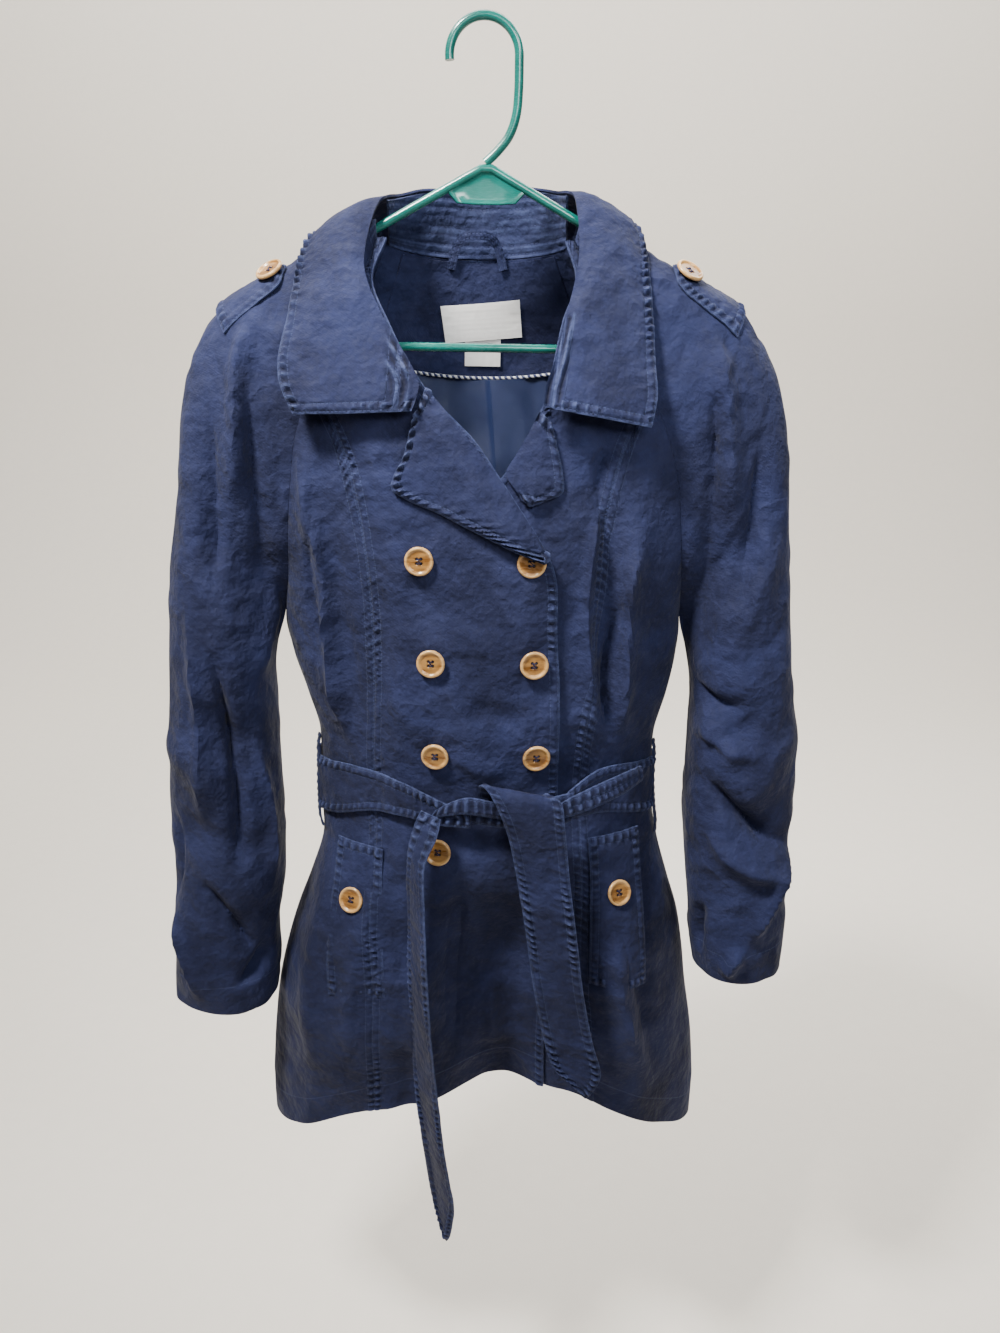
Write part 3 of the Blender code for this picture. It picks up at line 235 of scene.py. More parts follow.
# Lapels: the fold line, the outer edge and how far each stands off the front under it
LAPEL_COLUMNS = "fold_x fold_z edge_x edge_z fold_rise edge_rise"
LAPEL_RIGHT = table(
    LAPEL_COLUMNS,
    (-42, -258, -51, -279, 6, 4.6),
    (-22, -281, -60, -310, 6, 4),
    (-6, -299, -68, -334, 6, 4),
    (13, -322, -34, -350, 7, 4.5),
    (31, -347, 2, -367, 8, 5.5),
    (45, -368, 28, -379, 8.5, 8.5),
    (55, -384, 50, -388, 8.5, 8.5))
LAPEL_LEFT = table(
    LAPEL_COLUMNS,
    (44, -274, 54, -283, 4, 3),
    (35, -291, 59, -303, 4, 3),
    (26, -307, 63, -321, 4, 3),
    (19, -320, 63, -335, 3.5, 3),
    (26, -332, 50, -341, 3, 3),
    (34, -343, 39, -346, 3, 3))

# Belt: top and bottom edge of each stretch, and its rise off the cloth under it
BELT_COLUMNS = "x top bottom rise"
BELT_RIGHT = table(
    BELT_COLUMNS,
    (-141, -580, -632, 3.4),
    (-118, -575, -623, 3.2),
    (-92, -574, -613, 5),
    (-60, -577, -608, 8),
    (-30, -588, -611, 12),
    (-4, -598, -610, 16))
BELT_LEFT = table(
    BELT_COLUMNS,
    (153, -574, -625, 3.6),
    (128, -570, -617, 3.8),
    (104, -569, -611, 5),
    (86, -573, -608, 12),
    (70, -581, -605, 19))
BELT_BACK_TOP = -578.0
BELT_LOOP = {"top": -560.0, "bottom": -650.0, "s": 0.9, "s_width": 0.05, "foot_rise": 2.4,
             "lift": 2.45}

# Inside the neck
FACING_WALL = 1.2
FACING_BOTTOM = -256.0
FACING_CURVE = 14.0
PIPING_RADIUS = 1.5
LABEL = {"width": 66.0, "height": 34.0, "x": -4.0, "z": -206.0, "tilt": 6.0}
CARE_TAG = {"width": 31.0, "height": 52.0, "x": -3.0, "z": -220.0, "tilt": 0.0}
LOOP_X = -8.0
LOOP_HALF = 22.0
LOOP_RISE = 26.0
LOOP_FOOT_Z = -168.0
LOOP_FOOT_Y = 55.0
LOOP_Y = 46.0
LOOP_WIDTH = 7.0

WELT_COLUMNS = "x_front x_side z rise"
WELT_RIGHT = table(
    WELT_COLUMNS,
    (-79, -121, -645, 3.6),
    (-80, -123, -684, 3.6),
    (-80, -125, -724, 3.6),
    (-79, -125, -762, 3.6),
    (-79, -124, -784, 3.6))
WELT_LEFT = table(
    WELT_COLUMNS,
    (94, 139, -632, 3.6),
    (97, 142, -668, 3.6),
    (99, 144, -705, 3.6),
    (101, 145, -743, 3.6),
    (102, 145, -771, 3.6))

# Buttons on the fronts, row by row, and on the pockets
FRONT_BUTTONS = table(
    "row x_right x_left z",
    (1, -47, 40, -388),
    (2, -38, 44, -470),
    (3, -35, 48, -551),
    (4, -33, 50, -640))
POCKET_BUTTONS = table("x z", (-108, -696), (122, -684))

# Epaulettes on the sleeves: rings and positions u of the front and back edge
EPAULETTE_RISE = 3.4
BUTTON_GAP = 0.35
EPAULETTE = table(
    "ring u_front u_back",
    (2.9, -0.16, -0.12),
    (3.25, -0.32, 0.05),
    (3.9, -0.34, 0.10),
    (4.6, -0.34, 0.12),
    (5.4, -0.33, 0.12))

# Folds round the elbows: ring, the stretch of u that they cross, half width in rings and depth
ELBOW_FOLDS = table(
    "ring u_in u_out half depth",
    (12.2, -0.9, -0.3, 0.35, -6),
    (13.2, -0.6, 0.0, 0.35, 5),
    (14.2, -0.9, -0.2, 0.35, -5),
    (11.8, 0.2, 0.8, 0.4, -5),
    (13.6, 0.2, 0.8, 0.4, -5))
CUFF_RINGS = 18


def through(knots, values, at):
    """Smooth curve through the values at the knots, which may rise or fall (cubic Hermite)."""
    knots = np.asarray(knots, float)
    values = np.asarray(values, float)
    if knots[0] > knots[-1]:
        knots = knots[::-1]
        values = values[::-1]
    at = np.clip(np.asarray(at, float), knots[0], knots[-1])
    slopes = np.gradient(values, knots)
    i = np.clip(np.searchsorted(knots, at, side="right") - 1, 0, len(knots) - 2)
    step = knots[i + 1] - knots[i]
    t = (at - knots[i]) / step
    rise = values[i + 1] - values[i]
    ease = t * t * (3 - 2 * t)
    return (values[i] + ease * rise
            + step * (t * (1 - t) ** 2 * slopes[i] - t * t * (1 - t) * slopes[i + 1]))


def between(start, end, t):
    """Straight from the start at t = 0 to the end at t = 1."""
    return start * (1 - t) + end * t


def bezier(start, control_start, control_end, end, t):
    """A cubic curve from the start to the end, led by two control points."""
    return ((1 - t) ** 3 * start + 3 * (1 - t) ** 2 * t * control_start
            + 3 * (1 - t) * t ** 2 * control_end + t ** 3 * end)


def smoothstep(t):
    t = np.clip(t, 0, 1)
    return t * t * (3 - 2 * t)


def fold_lift(folds, x, z):
    """Sum of the folds' bell-shaped ridges and troughs at x, z."""
    lift = np.zeros(np.broadcast(x, z).shape)
    for x_top, z_top, x_bottom, z_bottom, half, depth, is_open in zip(*folds.values()):
        along = (z_top - z) / (z_top - z_bottom)
        centre = x_top + (x_bottom - x_top) * np.clip(along, 0, 1)
        fade = smoothstep(along / 0.4) * (1 - (1 - is_open) * smoothstep((along - 0.6) / 0.4))
        lift = lift + depth * fade * np.exp(-((x - centre) / half) ** 2)
    return lift


def row_height(face, s, z):
    """Height of a body row at s: the lowest rows reach the hem, the highest the neck seam."""
    hem = through(HEM["s"], HEM[face], s)
    low = np.clip((SKIRT_TURN_Z - z) / (SKIRT_TURN_Z - ROW_Z[0]), 0, 1)
    z = z + low * (hem - ROW_Z[0])
    if face == "back":
        high = np.clip((z - NECK_TURN_Z) / (ROW_Z[-1] - NECK_TURN_Z), 0, 1)
        z = z - high * BACK_NECK_DIP * (1 - s * s)
    return z


def section(face, z):
    """Middle x, half width, side y, middle y and arc of the body's section at z."""
    right = through(ROW_Z, BODY["right"], z)
    left = through(ROW_Z, BODY["left"], z)
    side_y = through(ROW_Z, BODY[face + "_side"], z)
    mid_y = through(ROW_Z, BODY[face + "_y"], z)
    arc = np.radians(through(ROW_Z, BODY["arc"], z))
    return (right + left) / 2, (left - right) / 2, side_y, mid_y, arc


def s_at(face, x, z):
    """Position s (-1 right side, +1 left side) of x on the section at z."""
    middle, half, _, _, arc = section(face, z)
    return np.arcsin(np.clip((x - middle) / half, -1, 1) * np.sin(arc)) / arc


def body_point(face, s, z, rise=0.0):
    """Point of the body at s on row z: an arc from side to side, plus the folds."""
    z_true = row_height(face, s, z)
    middle, half, side_y, mid_y, arc = section(face, z_true)
    x = middle + half * np.sin(arc * s) / np.sin(arc)
    bow = (np.cos(arc * s) - np.cos(arc)) / (1 - np.cos(arc))
    y = side_y + (mid_y - side_y) * bow
    outwards = -1 if face == "front" else 1
    folds = FRONT_FOLDS if face == "front" else BACK_FOLDS
    lift = fold_lift(folds, x, z_true) * smoothstep((1 - np.abs(s)) / 0.25) + rise
    # the outward direction turns from straight ahead at the middle to sideways at the side seam
    turn = s * np.radians(70) * smoothstep((ARMPIT_Z + 40 - z_true) / 80)
    return np.stack([x + lift * np.sin(turn), y + outwards * lift * np.cos(turn),
                     z_true + 0 * x], -1)


def front_rise(x, z):
    """Rise of the right front where it lies on the left front."""
    seam = through(PRINCESS["z"], PRINCESS["right"], z)
    return OVERLAP_RISE * smoothstep((x - seam) / 30.0)


def front_at(x, z, rise=0.0):
    """Point of the outer front, the right front on top, for an x and a row z."""
    x, z = np.broadcast_arrays(np.asarray(x, float), np.asarray(z, float))
    edge = through(FRONT_EDGE["z"], FRONT_EDGE["right"], z)
    own = np.where(x <= edge, front_rise(x, z), 0.0)
    return body_point("front", s_at("front", x, z), z, own + rise)


def sleeve_point(side, ring, u, rise=0.0):
    """Point of a sleeve: ring counts from the neck, u runs from -1 at the front seam over 0 at
    the overarm seam to 1 at the back seam, along a Bezier curve each."""
    rows = SLEEVE_RIGHT if side < 0 else SLEEVE_LEFT
    count = np.arange(len(rows["out_x"]), dtype=float)
    ring, u = np.broadcast_arrays(np.asarray(ring, float), np.asarray(u, float))
    edge_column = "right" if side < 0 else "left"
    points = {}
    for face in ("front", "back"):
        edge_x = through(ROW_Z, BODY[edge_column], RAGLAN_Z) * side
        edge_y = through(ROW_Z, BODY[face + "_side"], RAGLAN_Z)
        in_x = np.concatenate([edge_x, rows["in_x"][10:]])
        in_y = np.concatenate([edge_y, rows["in_y"][10:]])
        in_z = np.concatenate([RAGLAN_Z, rows["in_z"][10:]])
        x, y, z = (through(count, c, ring) for c in (in_x, in_y, in_z))
        sewn = ring <= len(RAGLAN_Z) - 1
        x = np.where(sewn, through(ROW_Z, BODY[edge_column], z) * side, x)
        y = np.where(sewn, through(ROW_Z, BODY[face + "_side"], z), y)
        points[face] = np.stack([x, y, z], -1)
    outer = np.stack([through(count, rows[c], ring) for c in ("out_x", "out_y", "out_z")], -1)
    inner = np.where((u < 0)[..., None], points["front"], points["back"])
    is_front = u < 0
    reach_in = np.where(is_front, -through(count, rows["front_in"], ring),
                        through(count, rows["back_in"], ring))
    reach_out = np.where(is_front, -through(count, rows["front_out"], ring),
                         through(count, rows["back_out"], ring))
    lean = 0.28 * (1 - smoothstep((ring - 8.2) / 3.3))
    t = np.abs(u)[..., None]
    forward = np.array([0.0, 1.0, 0.0])
    control_in = inner + lean[..., None] * (outer - inner) + reach_in[..., None] * forward
    control_out = outer + reach_out[..., None] * forward
    point = bezier(outer, control_out, control_in, inner, t)
    middle = (outer + inner) / 2
    outwards = point - middle
    outwards = outwards / np.maximum(np.linalg.norm(outwards, axis=-1, keepdims=True), 1)
    lift = rise + sleeve_folds(ring, u)
    point = point + lift[..., None] * outwards
    return point * np.array([side, 1, 1])


def sleeve_folds(ring, u):
    lift = np.zeros(ring.shape)
    for at_ring, u_in, u_out, half, depth in zip(*ELBOW_FOLDS.values()):
        across = smoothstep((u - u_in) / 0.2) * smoothstep((u_out - u) / 0.2)
        lift = lift + depth * across * np.exp(-((ring - at_ring) / half) ** 2)
    return lift


def sampled(rows, count):
    """A table's columns, each read at evenly spaced places from its first row to its last."""
    return {key: through(np.arange(float(len(values))), values,
                         np.linspace(0, len(values) - 1.0, count))
            for key, values in rows.items()}


# --- finer folds ----------------------------------------------------------------------------------

# Creases of the fronts: two ends, half width and height; they die away at both ends
FRONT_CREASES = table(
    "x_start z_start x_end z_end half height",
    (-146, -285, -119, -420, 8, 8.1),
    (-124, -390, -106, -560, 6, 6.75),
    (-133, -330, -117, -520, 5, -5.4),
    (96, -285, 101, -385, 7, -6.75),
    (104, -290, 101, -560, 6, 5.4),
    (121, -400, 112, -550, 6, -9.45),
    (135, -345, 123, -560, 8, 8.1),
    (-60, -395, -20, -440, 12, -2.16),
    (-20, -430, 20, -470, 10, 2.16),
    (-70, -480, -44, -540, 10, 2.43),
    (-10, -500, 40, -520, 11, -2.16),
    (-30, -545, 30, -570, 9, 2.295),
    (-70, -640, -110, -900, 22, 5.4),
    (-124, -670, -150, -880, 11, 5.4),
    (-30, -700, -52, -900, 18, 8.1),
    (-6, -640, -16, -900, 10, -6.75),
    (20, -760, 30, -900, 16, 6.75),
    (120, -690, 160, -880, 12, 6.75),
    (148, -640, 176, -880, 8, -5.4),
    (90, -790, 106, -905, 11, 4.05))
BACK_CREASES = table(
    "x_start z_start x_end z_end half height",
    (-90, -280, -50, -420, 16, 3),
    (90, -280, 50, -420, 16, 3),
    (-120, -440, -60, -560, 12, -3),
    (120, -440, 60, -560, 12, -3),
    (0, -380, 0, -540, 14, -2))
# Creases of the sleeves: side (-1 right, 1 left), two ends as ring and u, half width and height
SLEEVE_CREASES = table(
    "side ring_start u_start ring_end u_end half height",
    (-1, 10.6, -0.50, 14.9, -0.62, 6, -10.5),
    (-1, 10.4, -0.34, 14.4, -0.40, 7, 7.5),
    (-1, 11.8, -0.76, 15.0, -0.84, 6, 6),
    (-1, 15.0, -0.36, 16.6, -0.80, 6, -7.5),
    (-1, 15.8, -0.16, 17.9, -0.40, 8, 7.5),
    (-1, 16.2, -0.90, 17.4, -0.60, 7, -7.5),
    (-1, 14.0, -0.20, 16.0, -0.10, 7, -6),
    (-1, 5.0, -0.50, 9.4, -0.86, 10, -7.5),
    (-1, 4.0, -0.36, 8.6, -0.60, 10, 7.5),
    (-1, 6.6, -0.34, 10.2, -0.52, 9, -6),
    (-1, 8.2, -0.90, 11.0, -0.80, 9, 7.5),
    (1, 10.6, -0.96, 12.0, -0.50, 7, -7.5),
    (1, 11.4, -0.90, 13.0, -0.40, 7, 6),
    (1, 12.6, -0.86, 15.1, -0.10, 8, -12),
    (1, 13.8, -0.80, 15.7, -0.20, 7, 7.5),
    (1, 15.0, -0.12, 17.0, -0.50, 9, 9),
    (1, 16.8, -0.50, 17.9, -0.64, 8, 7.5),
    (1, 15.6, -0.80, 17.4, -0.86, 8, -7.5),
    (1, 5.0, -0.50, 9.4, -0.86, 10, -7.5),
    (1, 4.0, -0.36, 8.6, -0.60, 10, 7.5),
    (1, 7.0, -0.30, 10.4, -0.56, 9, -6),
    (-1, 10.0, 0.50, 13.0, 0.40, 8, -6),
    (1, 10.0, 0.50, 13.0, 0.40, 8, -6),
    (-1, 14.0, 0.60, 16.4, 0.30, 8, 6),
    (1, 14.0, 0.60, 16.4, 0.30, 8, 6))
RING_MM = 48.0        # mean length of one step between sleeve rings
U_MM = 150.0          # mean width of half a sleeve
# How deep the slow unrest goes in mm, and what the creases' heights are multiplied by
BODY_UNREST, BODY_CREASE_DEPTH = 2.2, 1.7
SLEEVE_UNREST, SLEEVE_CREASE_DEPTH = 2.6, 1.5


def crease_lift(x, z, ends, half, height):
    """A bell across the line between two ends, eased to nothing at both."""
    x_start, z_start, x_end, z_end = ends
    run = np.hypot(x_end - x_start, z_end - z_start)
    along = ((x - x_start) * (x_end - x_start) + (z - z_start) * (z_end - z_start)) / run
    across = ((x - x_start) * (z_end - z_start) - (z - z_start) * (x_end - x_start)) / run
    bend = 0.06 * run * np.sin(np.pi * np.clip(along / run, 0, 1))
    fade = smoothstep(along / (0.35 * run)) * smoothstep((run - along) / (0.35 * run))
    return height * fade * np.exp(-np.abs((across - bend) / half) ** 1.45)


def ripple(a, b, seed):
    """Slow uneven unrest of hanging cloth, from -1 to 1: crossed waves that bend each other."""
    return (0.45 * np.sin(a / 17.0 + 1.3 * np.sin(b / 29.0 + seed) + seed)
            + 0.35 * np.sin(b / 23.0 + 1.7 * np.sin(a / 21.0 + 2 * seed))
            + 0.20 * np.sin((a + b) / 9.0 + 2.1 * np.sin((a - b) / 15.0 + seed)))


def body_creases(face, x, z):
    """Outward lift of a face of the body by its unrest and creases."""
    folds = FRONT_CREASES if face == "front" else BACK_CREASES
    lift = BODY_UNREST * ripple(x, z, 0.4 if face == "front" else 2.1)
    for *ends, half, height in zip(*folds.values()):
        lift = lift + BODY_CREASE_DEPTH * crease_lift(x, z, ends, half, height)
    return lift


def sleeve_creases(side, ring, u):
    """Outward lift of a sleeve by its unrest and creases."""
    a, b = u * U_MM, -ring * RING_MM
    lift = SLEEVE_UNREST * ripple(a, b, 1.1 + side)
    for at_side, r_start, u_start, r_end, u_end, half, height in zip(*SLEEVE_CREASES.values()):
        if at_side == side:
            ends = (u_start * U_MM, -r_start * RING_MM, u_end * U_MM, -r_end * RING_MM)
            lift = lift + SLEEVE_CREASE_DEPTH * crease_lift(a, b, ends, half, height)
    return lift


# --- seams ----------------------------------------------------------------------------------------

STITCH_NEAR = 1.8     # the two rows of topstitching, in mm from the edge
STITCH_FAR = 8.0
FAR = 99.0            # a distance at which no seam shows
# Borders of a grid that are finished edges
BOTH_SIDES = ("first_column", "last_column")
ALL_ROUND = ("first_row", "last_row") + BOTH_SIDES
NEAR_EDGE = np.array([0.0, 0.7, 1.5, 2.3, 3.2, 4.2, 5.2, 6.2, 7.2, 8.0, 8.8, 9.8, 11.0])


def bell(value, centre, half):
    """1 at the centre, falling smoothly to either side."""
    return np.exp(-((value - centre) / half) ** 2)


def pucker(place, seed):
    """Uneven wave along a seam, from -1 to 1, about 7 mm from crest to crest."""
    beat = 0.62 + 0.38 * np.sin(place * 0.043 + 2.0 * seed)
    return beat * np.sin(place * 0.86 + 1.9 * np.sin(place * 0.101 + seed) + seed)


def seam_lift(edge, place, seed):
    """How far the cloth stands up beside a seam: swollen, puckered, pulled in at stitches."""
    wave = pucker(place, seed)
    swell = 0.8 * bell(edge, 4.6, 2.8) + 1.9 * wave * bell(edge, 5.0, 3.8)
    pinch = -0.35 * bell(edge, STITCH_NEAR, 0.8) - 0.45 * bell(edge, STITCH_FAR, 1.0)
    spill = 0.55 * bell(edge, 12.0, 4.5) * pucker(place * 0.8 + 3.0, seed + 1.0)
    return swell + pinch + spill - 0.7 * bell(edge, 0.0, 0.8)


def seam_wear(edge, place, seed):
    """How much the cloth is rubbed pale (the very edge and the puckers' crests),
    or below zero how much painted shade darkens their troughs."""
    wave = pucker(place, seed)
    band = bell(edge, 4.8, 3.4)
    crests = band * smoothstep(0.1 + 0.9 * wave)
    # painted shade: the puckers' troughs come out darker
    trough_shade = band * smoothstep(0.1 - 0.9 * wave)
    return np.clip(0.42 * bell(edge, 0.2, 0.8) + 0.48 * crests - 0.85 * trough_shade, -1, 1)


def lengths(grid, axis):
    """Length along each row (axis 1) or column (axis 0) of a grid, up to each point."""
    step = np.linalg.norm(np.diff(grid, axis=axis), axis=-1)
    start = np.zeros_like(np.take(step, [0], axis=axis))
    return np.concatenate([start, np.cumsum(step, axis=axis)], axis=axis)


def edge_fields(grid, borders):
    """Distance in mm from the nearest of the named borders, and the place along that border."""
    across, along = lengths(grid, 1), lengths(grid, 0)
    fields = {"first_column": (across, along), "last_column": (across[:, -1:] - across, along),
              "first_row": (along, across), "last_row": (along[-1:] - along, across)}
    edge, place = np.full(across.shape, FAR), along.copy()
    for border in borders:
        distance, position = fields[border]
        nearer = distance < edge
        edge = np.where(nearer, distance, edge)
        place = np.where(nearer, position, place)
    return edge, place


def places(length, spacing):
    """Positions from 0 to length, close together near both ends."""
    near = NEAR_EDGE[NEAR_EDGE < length / 2 - spacing / 2]
    middle = length - 2 * near[-1]
    inner = np.linspace(near[-1], length - near[-1], max(2, int(round(middle / spacing)) + 1))[1:-1]
    return np.concatenate([near, inner, (length - near)[::-1]])


def read_rows(grid, at):
    """Smooth curves through the grid's rows, read at the positions in at (cubic Hermite)."""
    slopes = np.gradient(grid, axis=0)
    i = np.clip(np.floor(at).astype(int), 0, len(grid) - 2)
    t = (at - i).reshape(-1, *([1] * (grid.ndim - 1)))
    rise = grid[i + 1] - grid[i]
    return (grid[i] + t * t * (3 - 2 * t) * rise
            + t * (1 - t) ** 2 * slopes[i] - t * t * (1 - t) * slopes[i + 1])


def refined(grid, spacing):
    """A finer grid on the same smooth surface."""
    for _ in range(2):
        reach = lengths(grid, 0).mean(axis=1)
        at = np.interp(places(reach[-1], spacing), reach, np.arange(len(grid)))
        grid = read_rows(grid, at).swapaxes(0, 1)
    return grid


def surface_normals(grid, toward):
    """Unit normals at the grid's points, away from the point toward."""
    along = np.gradient(grid, axis=0)
    across = np.gradient(grid, axis=1)
    normal = np.cross(across, along)
    normal /= np.maximum(np.linalg.norm(normal, axis=-1, keepdims=True), 1e-9)
    flip = np.sum(normal * (grid - toward)) < 0
    return (-normal if flip else normal), flip


# --- meshes ---------------------------------------------------------------------------------------


def new_piece(name, points, faces, fields, slot, nodes, sharp=50.0):
    """A mesh object from points in mm; faces is an array of quads or a list; fields are one value
    for each point. It rides on the coat's body and stands for its CAD nodes."""
    mesh = bpy.data.meshes.new(name)
    mesh.from_pydata((np.asarray(points, float) * MM).tolist(), [],
                     faces.tolist() if isinstance(faces, np.ndarray) else faces)
    for key, values in fields.items():
        attribute = mesh.attributes.new(key, "FLOAT", "POINT")
        attribute.data.foreach_set("value", np.asarray(values, np.float32).ravel())
    piece = bpy.data.objects.new(name, mesh)
    bpy.context.scene.collection.objects.link(piece)
    mesh.shade_smooth()
    mesh.set_sharp_from_angle(angle=math.radians(sharp))
    mesh.materials.append(MATERIALS[slot])
    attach(piece, "root")
    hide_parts(*nodes)
    return piece


def wall_mesh(outer, inner, flip):
    """Points and quads of a closed wall between two grids."""
    rows, columns = outer.shape[:2]
    index = np.arange(rows * columns).reshape(rows, columns)
    quads = np.stack([index[:-1, :-1], index[:-1, 1:], index[1:, 1:], index[1:, :-1]],
                     -1).reshape(-1, 4)
    if not flip:
        quads = quads[:, ::-1]
    loop = np.concatenate([index[0], index[1:, -1], index[-1, -2::-1], index[-2:0:-1, 0]])
    after = np.roll(loop, -1)
    count = rows * columns
    rim = np.stack([loop, after, after + count, loop + count], -1)
    if flip:
        rim = rim[:, ::-1]
    points = np.concatenate([outer.reshape(-1, 3), inner.reshape(-1, 3)])
    return points, np.concatenate([quads, quads[:, ::-1] + count, rim])


def both_sides(**fields):
    """Values for a wall's points: the inner side repeats the outer side's."""
    return {key: np.concatenate([value, value]) for key, value in fields.items()}


def lay_cloth(name, grid, toward, borders, nodes, wall=1.8, slot="navy_cotton", seed=0.0,
              strength=1.0, hem=None, join=None):
    """A cloth wall from its fine grid: the seams' lift on the outer side, a plain inner side.
    join gives the distance from a stitched line inside the piece, hem that from a hemmed edge."""
    edge, place = edge_fields(grid, borders)
    if join is not None:
        nearer = np.abs(join) < edge
        edge = np.where(nearer, np.abs(join), edge)
        place = np.where(nearer, lengths(grid, 1) + 7.0, place)
    normal, flip = surface_normals(grid, np.asarray(toward, float))
    outer = grid + (strength * seam_lift(edge, place, seed))[..., None] * normal
    inner = grid - wall * normal
    # the seam values: rubbed wear above zero, painted shade in the puckers' troughs below zero
    wear = seam_wear(edge, place, seed) * min(strength, 1.0) ** 1.5
    if hem is None:
        hem = np.full(edge.shape, FAR)
    fields = both_sides(edge=edge, place=place, hem=hem, wear=wear)
    points, faces = wall_mesh(outer, inner, flip)
    return new_piece(name, points, faces, fields, slot, nodes)


def pulled_in(grid, gap=0.2):
    """The grid with all its borders moved in, for the gap at the seams."""
    grid = grid.copy()
    for edge, inner in (((0,), (1,)), ((-1,), (-2,)), ((slice(None), 0), (slice(None), 1)),
                        ((slice(None), -1), (slice(None), -2))):
        step = grid[inner] - grid[edge]
        size = np.maximum(np.linalg.norm(step, axis=-1, keepdims=True), 1e-6)
        grid[edge] += np.minimum(gap, 0.45 * size) * step / size
    return grid


def skin_samples():
    """Points of the outer cloth all over the front, to lay other pieces on."""
    z, s = np.meshgrid(np.arange(-915, -154, 6.0), np.linspace(-1, 1, 61), indexing="ij")
    points = body_point("front", s, z)
    own_x = points[..., 0]
    on_top = own_x <= through(FRONT_EDGE["z"], FRONT_EDGE["right"], z)
    points = body_point("front", s, z, np.where(on_top, front_rise(own_x, z), 0.0))
    chunks = [points.reshape(-1, 3)]
    ring, u = np.meshgrid(np.arange(0, 12, 0.2), np.linspace(-1, -0.02, 24), indexing="ij")
    for side in (-1, 1):
        chunks.append(sleeve_point(side, ring, u).reshape(-1, 3))
    return np.concatenate(chunks)


def back_samples():
    z, s = np.meshgrid(np.arange(-500, -154, 6.0), np.linspace(-1, 1, 61), indexing="ij")
    chunks = [body_point("back", s, z).reshape(-1, 3)]
    ring, u = np.meshgrid(np.arange(0, 12, 0.2), np.linspace(0.02, 1, 24), indexing="ij")
    for side in (-1, 1):
        chunks.append(sleeve_point(side, ring, u).reshape(-1, 3))
    return np.concatenate(chunks)


def skin_y(samples, x, z, spread_mm=4.0):
    """Depth y of the cloth at x, z: the samples' mean, weighted by a bell of their distance."""
    x = np.asarray(x, float)
    z = np.asarray(z, float)
    near = ((x.reshape(-1, 1) - samples[:, 0]) ** 2 + (z.reshape(-1, 1) - samples[:, 2]) ** 2)
    near = near - near.min(axis=1, keepdims=True)
    weight = np.exp(-near / (2 * spread_mm ** 2))
    return ((weight * samples[:, 1]).sum(1) / weight.sum(1)).reshape(x.shape)


def collar_rows(count, start=0.0, end=None):
    """The collar's table at evenly spaced places along it."""
    knots = np.arange(len(COLLAR["roll_x"]), dtype=float)
    at = np.linspace(start, knots[-1] if end is None else end, count)
    values = {name: through(knots, column, at) for name, column in COLLAR.items()}
    return tuple(np.stack([values[word + "_" + axis] for axis in "xyz"], -1)
                 for word in ("roll", "edge", "lift"))


# --- materials ------------------------------------------------------------------------------------


class Nodes:
    """Short calls to build a node tree: values are numbers, tuples or other nodes' outputs."""

    def __init__(self, tree):
        self.tree = tree

    def add(self, kind, inputs=(), **settings):
        node = self.tree.nodes.new(kind)
        for key, value in settings.items():
            setattr(node, key, value)
        for key, value in dict(inputs).items():
            self.put(value, node.inputs[key])
        return node

    def put(self, value, socket):
        if isinstance(value, bpy.types.NodeSocket):
            self.tree.links.new(value, socket)
        else:
            socket.default_value = value

    def math(self, operation, a, b=0.0, c=0.0):
        node = self.add("ShaderNodeMath", operation=operation)
        for value, socket in zip((a, b, c), node.inputs):
            self.put(value, socket)
        return node.outputs[0]

    def ramp(self, value, low, high, start=0.0, end=1.0):
        node = self.add("ShaderNodeMapRange", {"Value": value, "From Min": low, "From Max": high,
                                               "To Min": start, "To Max": end},
                        interpolation_type="SMOOTHSTEP")
        return node.outputs["Result"]

    def bell(self, value, centre, half):
        x = self.math("DIVIDE", self.math("SUBTRACT", value, centre), half)
        return self.math("POWER", 0.3679, self.math("MULTIPLY", x, x))

    def noise(self, vector, scale, detail=2.0, roughness=0.5):
        return self.add("ShaderNodeTexNoise", {"Vector": vector, "Scale": scale, "Detail": detail,
                                               "Roughness": roughness}).outputs["Fac"]

    def mix(self, factor, a, b):
        node = self.add("ShaderNodeMix", data_type="RGBA")
        for value, socket in zip((factor, a, b), (node.inputs[0], node.inputs[6], node.inputs[7])):
            self.put(value, socket)
        return node.outputs[2]

    def bump(self, height, distance, strength=1.0, normal=None):
        inputs = {"Height": height, "Distance": distance, "Strength": strength}
        if normal is not None:
            inputs["Normal"] = normal
        return self.add("ShaderNodeBump", inputs).outputs["Normal"]


def new_group(name, inputs, outputs):
    """A node group; inputs and outputs are pairs of a name and a socket type."""
    group = bpy.data.node_groups.new(name, "ShaderNodeTree")
    for side, sockets in (("INPUT", inputs), ("OUTPUT", outputs)):
        for word, kind in sockets:
            group.interface.new_socket(name=word, in_out=side, socket_type="NodeSocket" + kind)
    build = Nodes(group)
    return group, build, build.add("NodeGroupInput").outputs, build.add("NodeGroupOutput").inputs


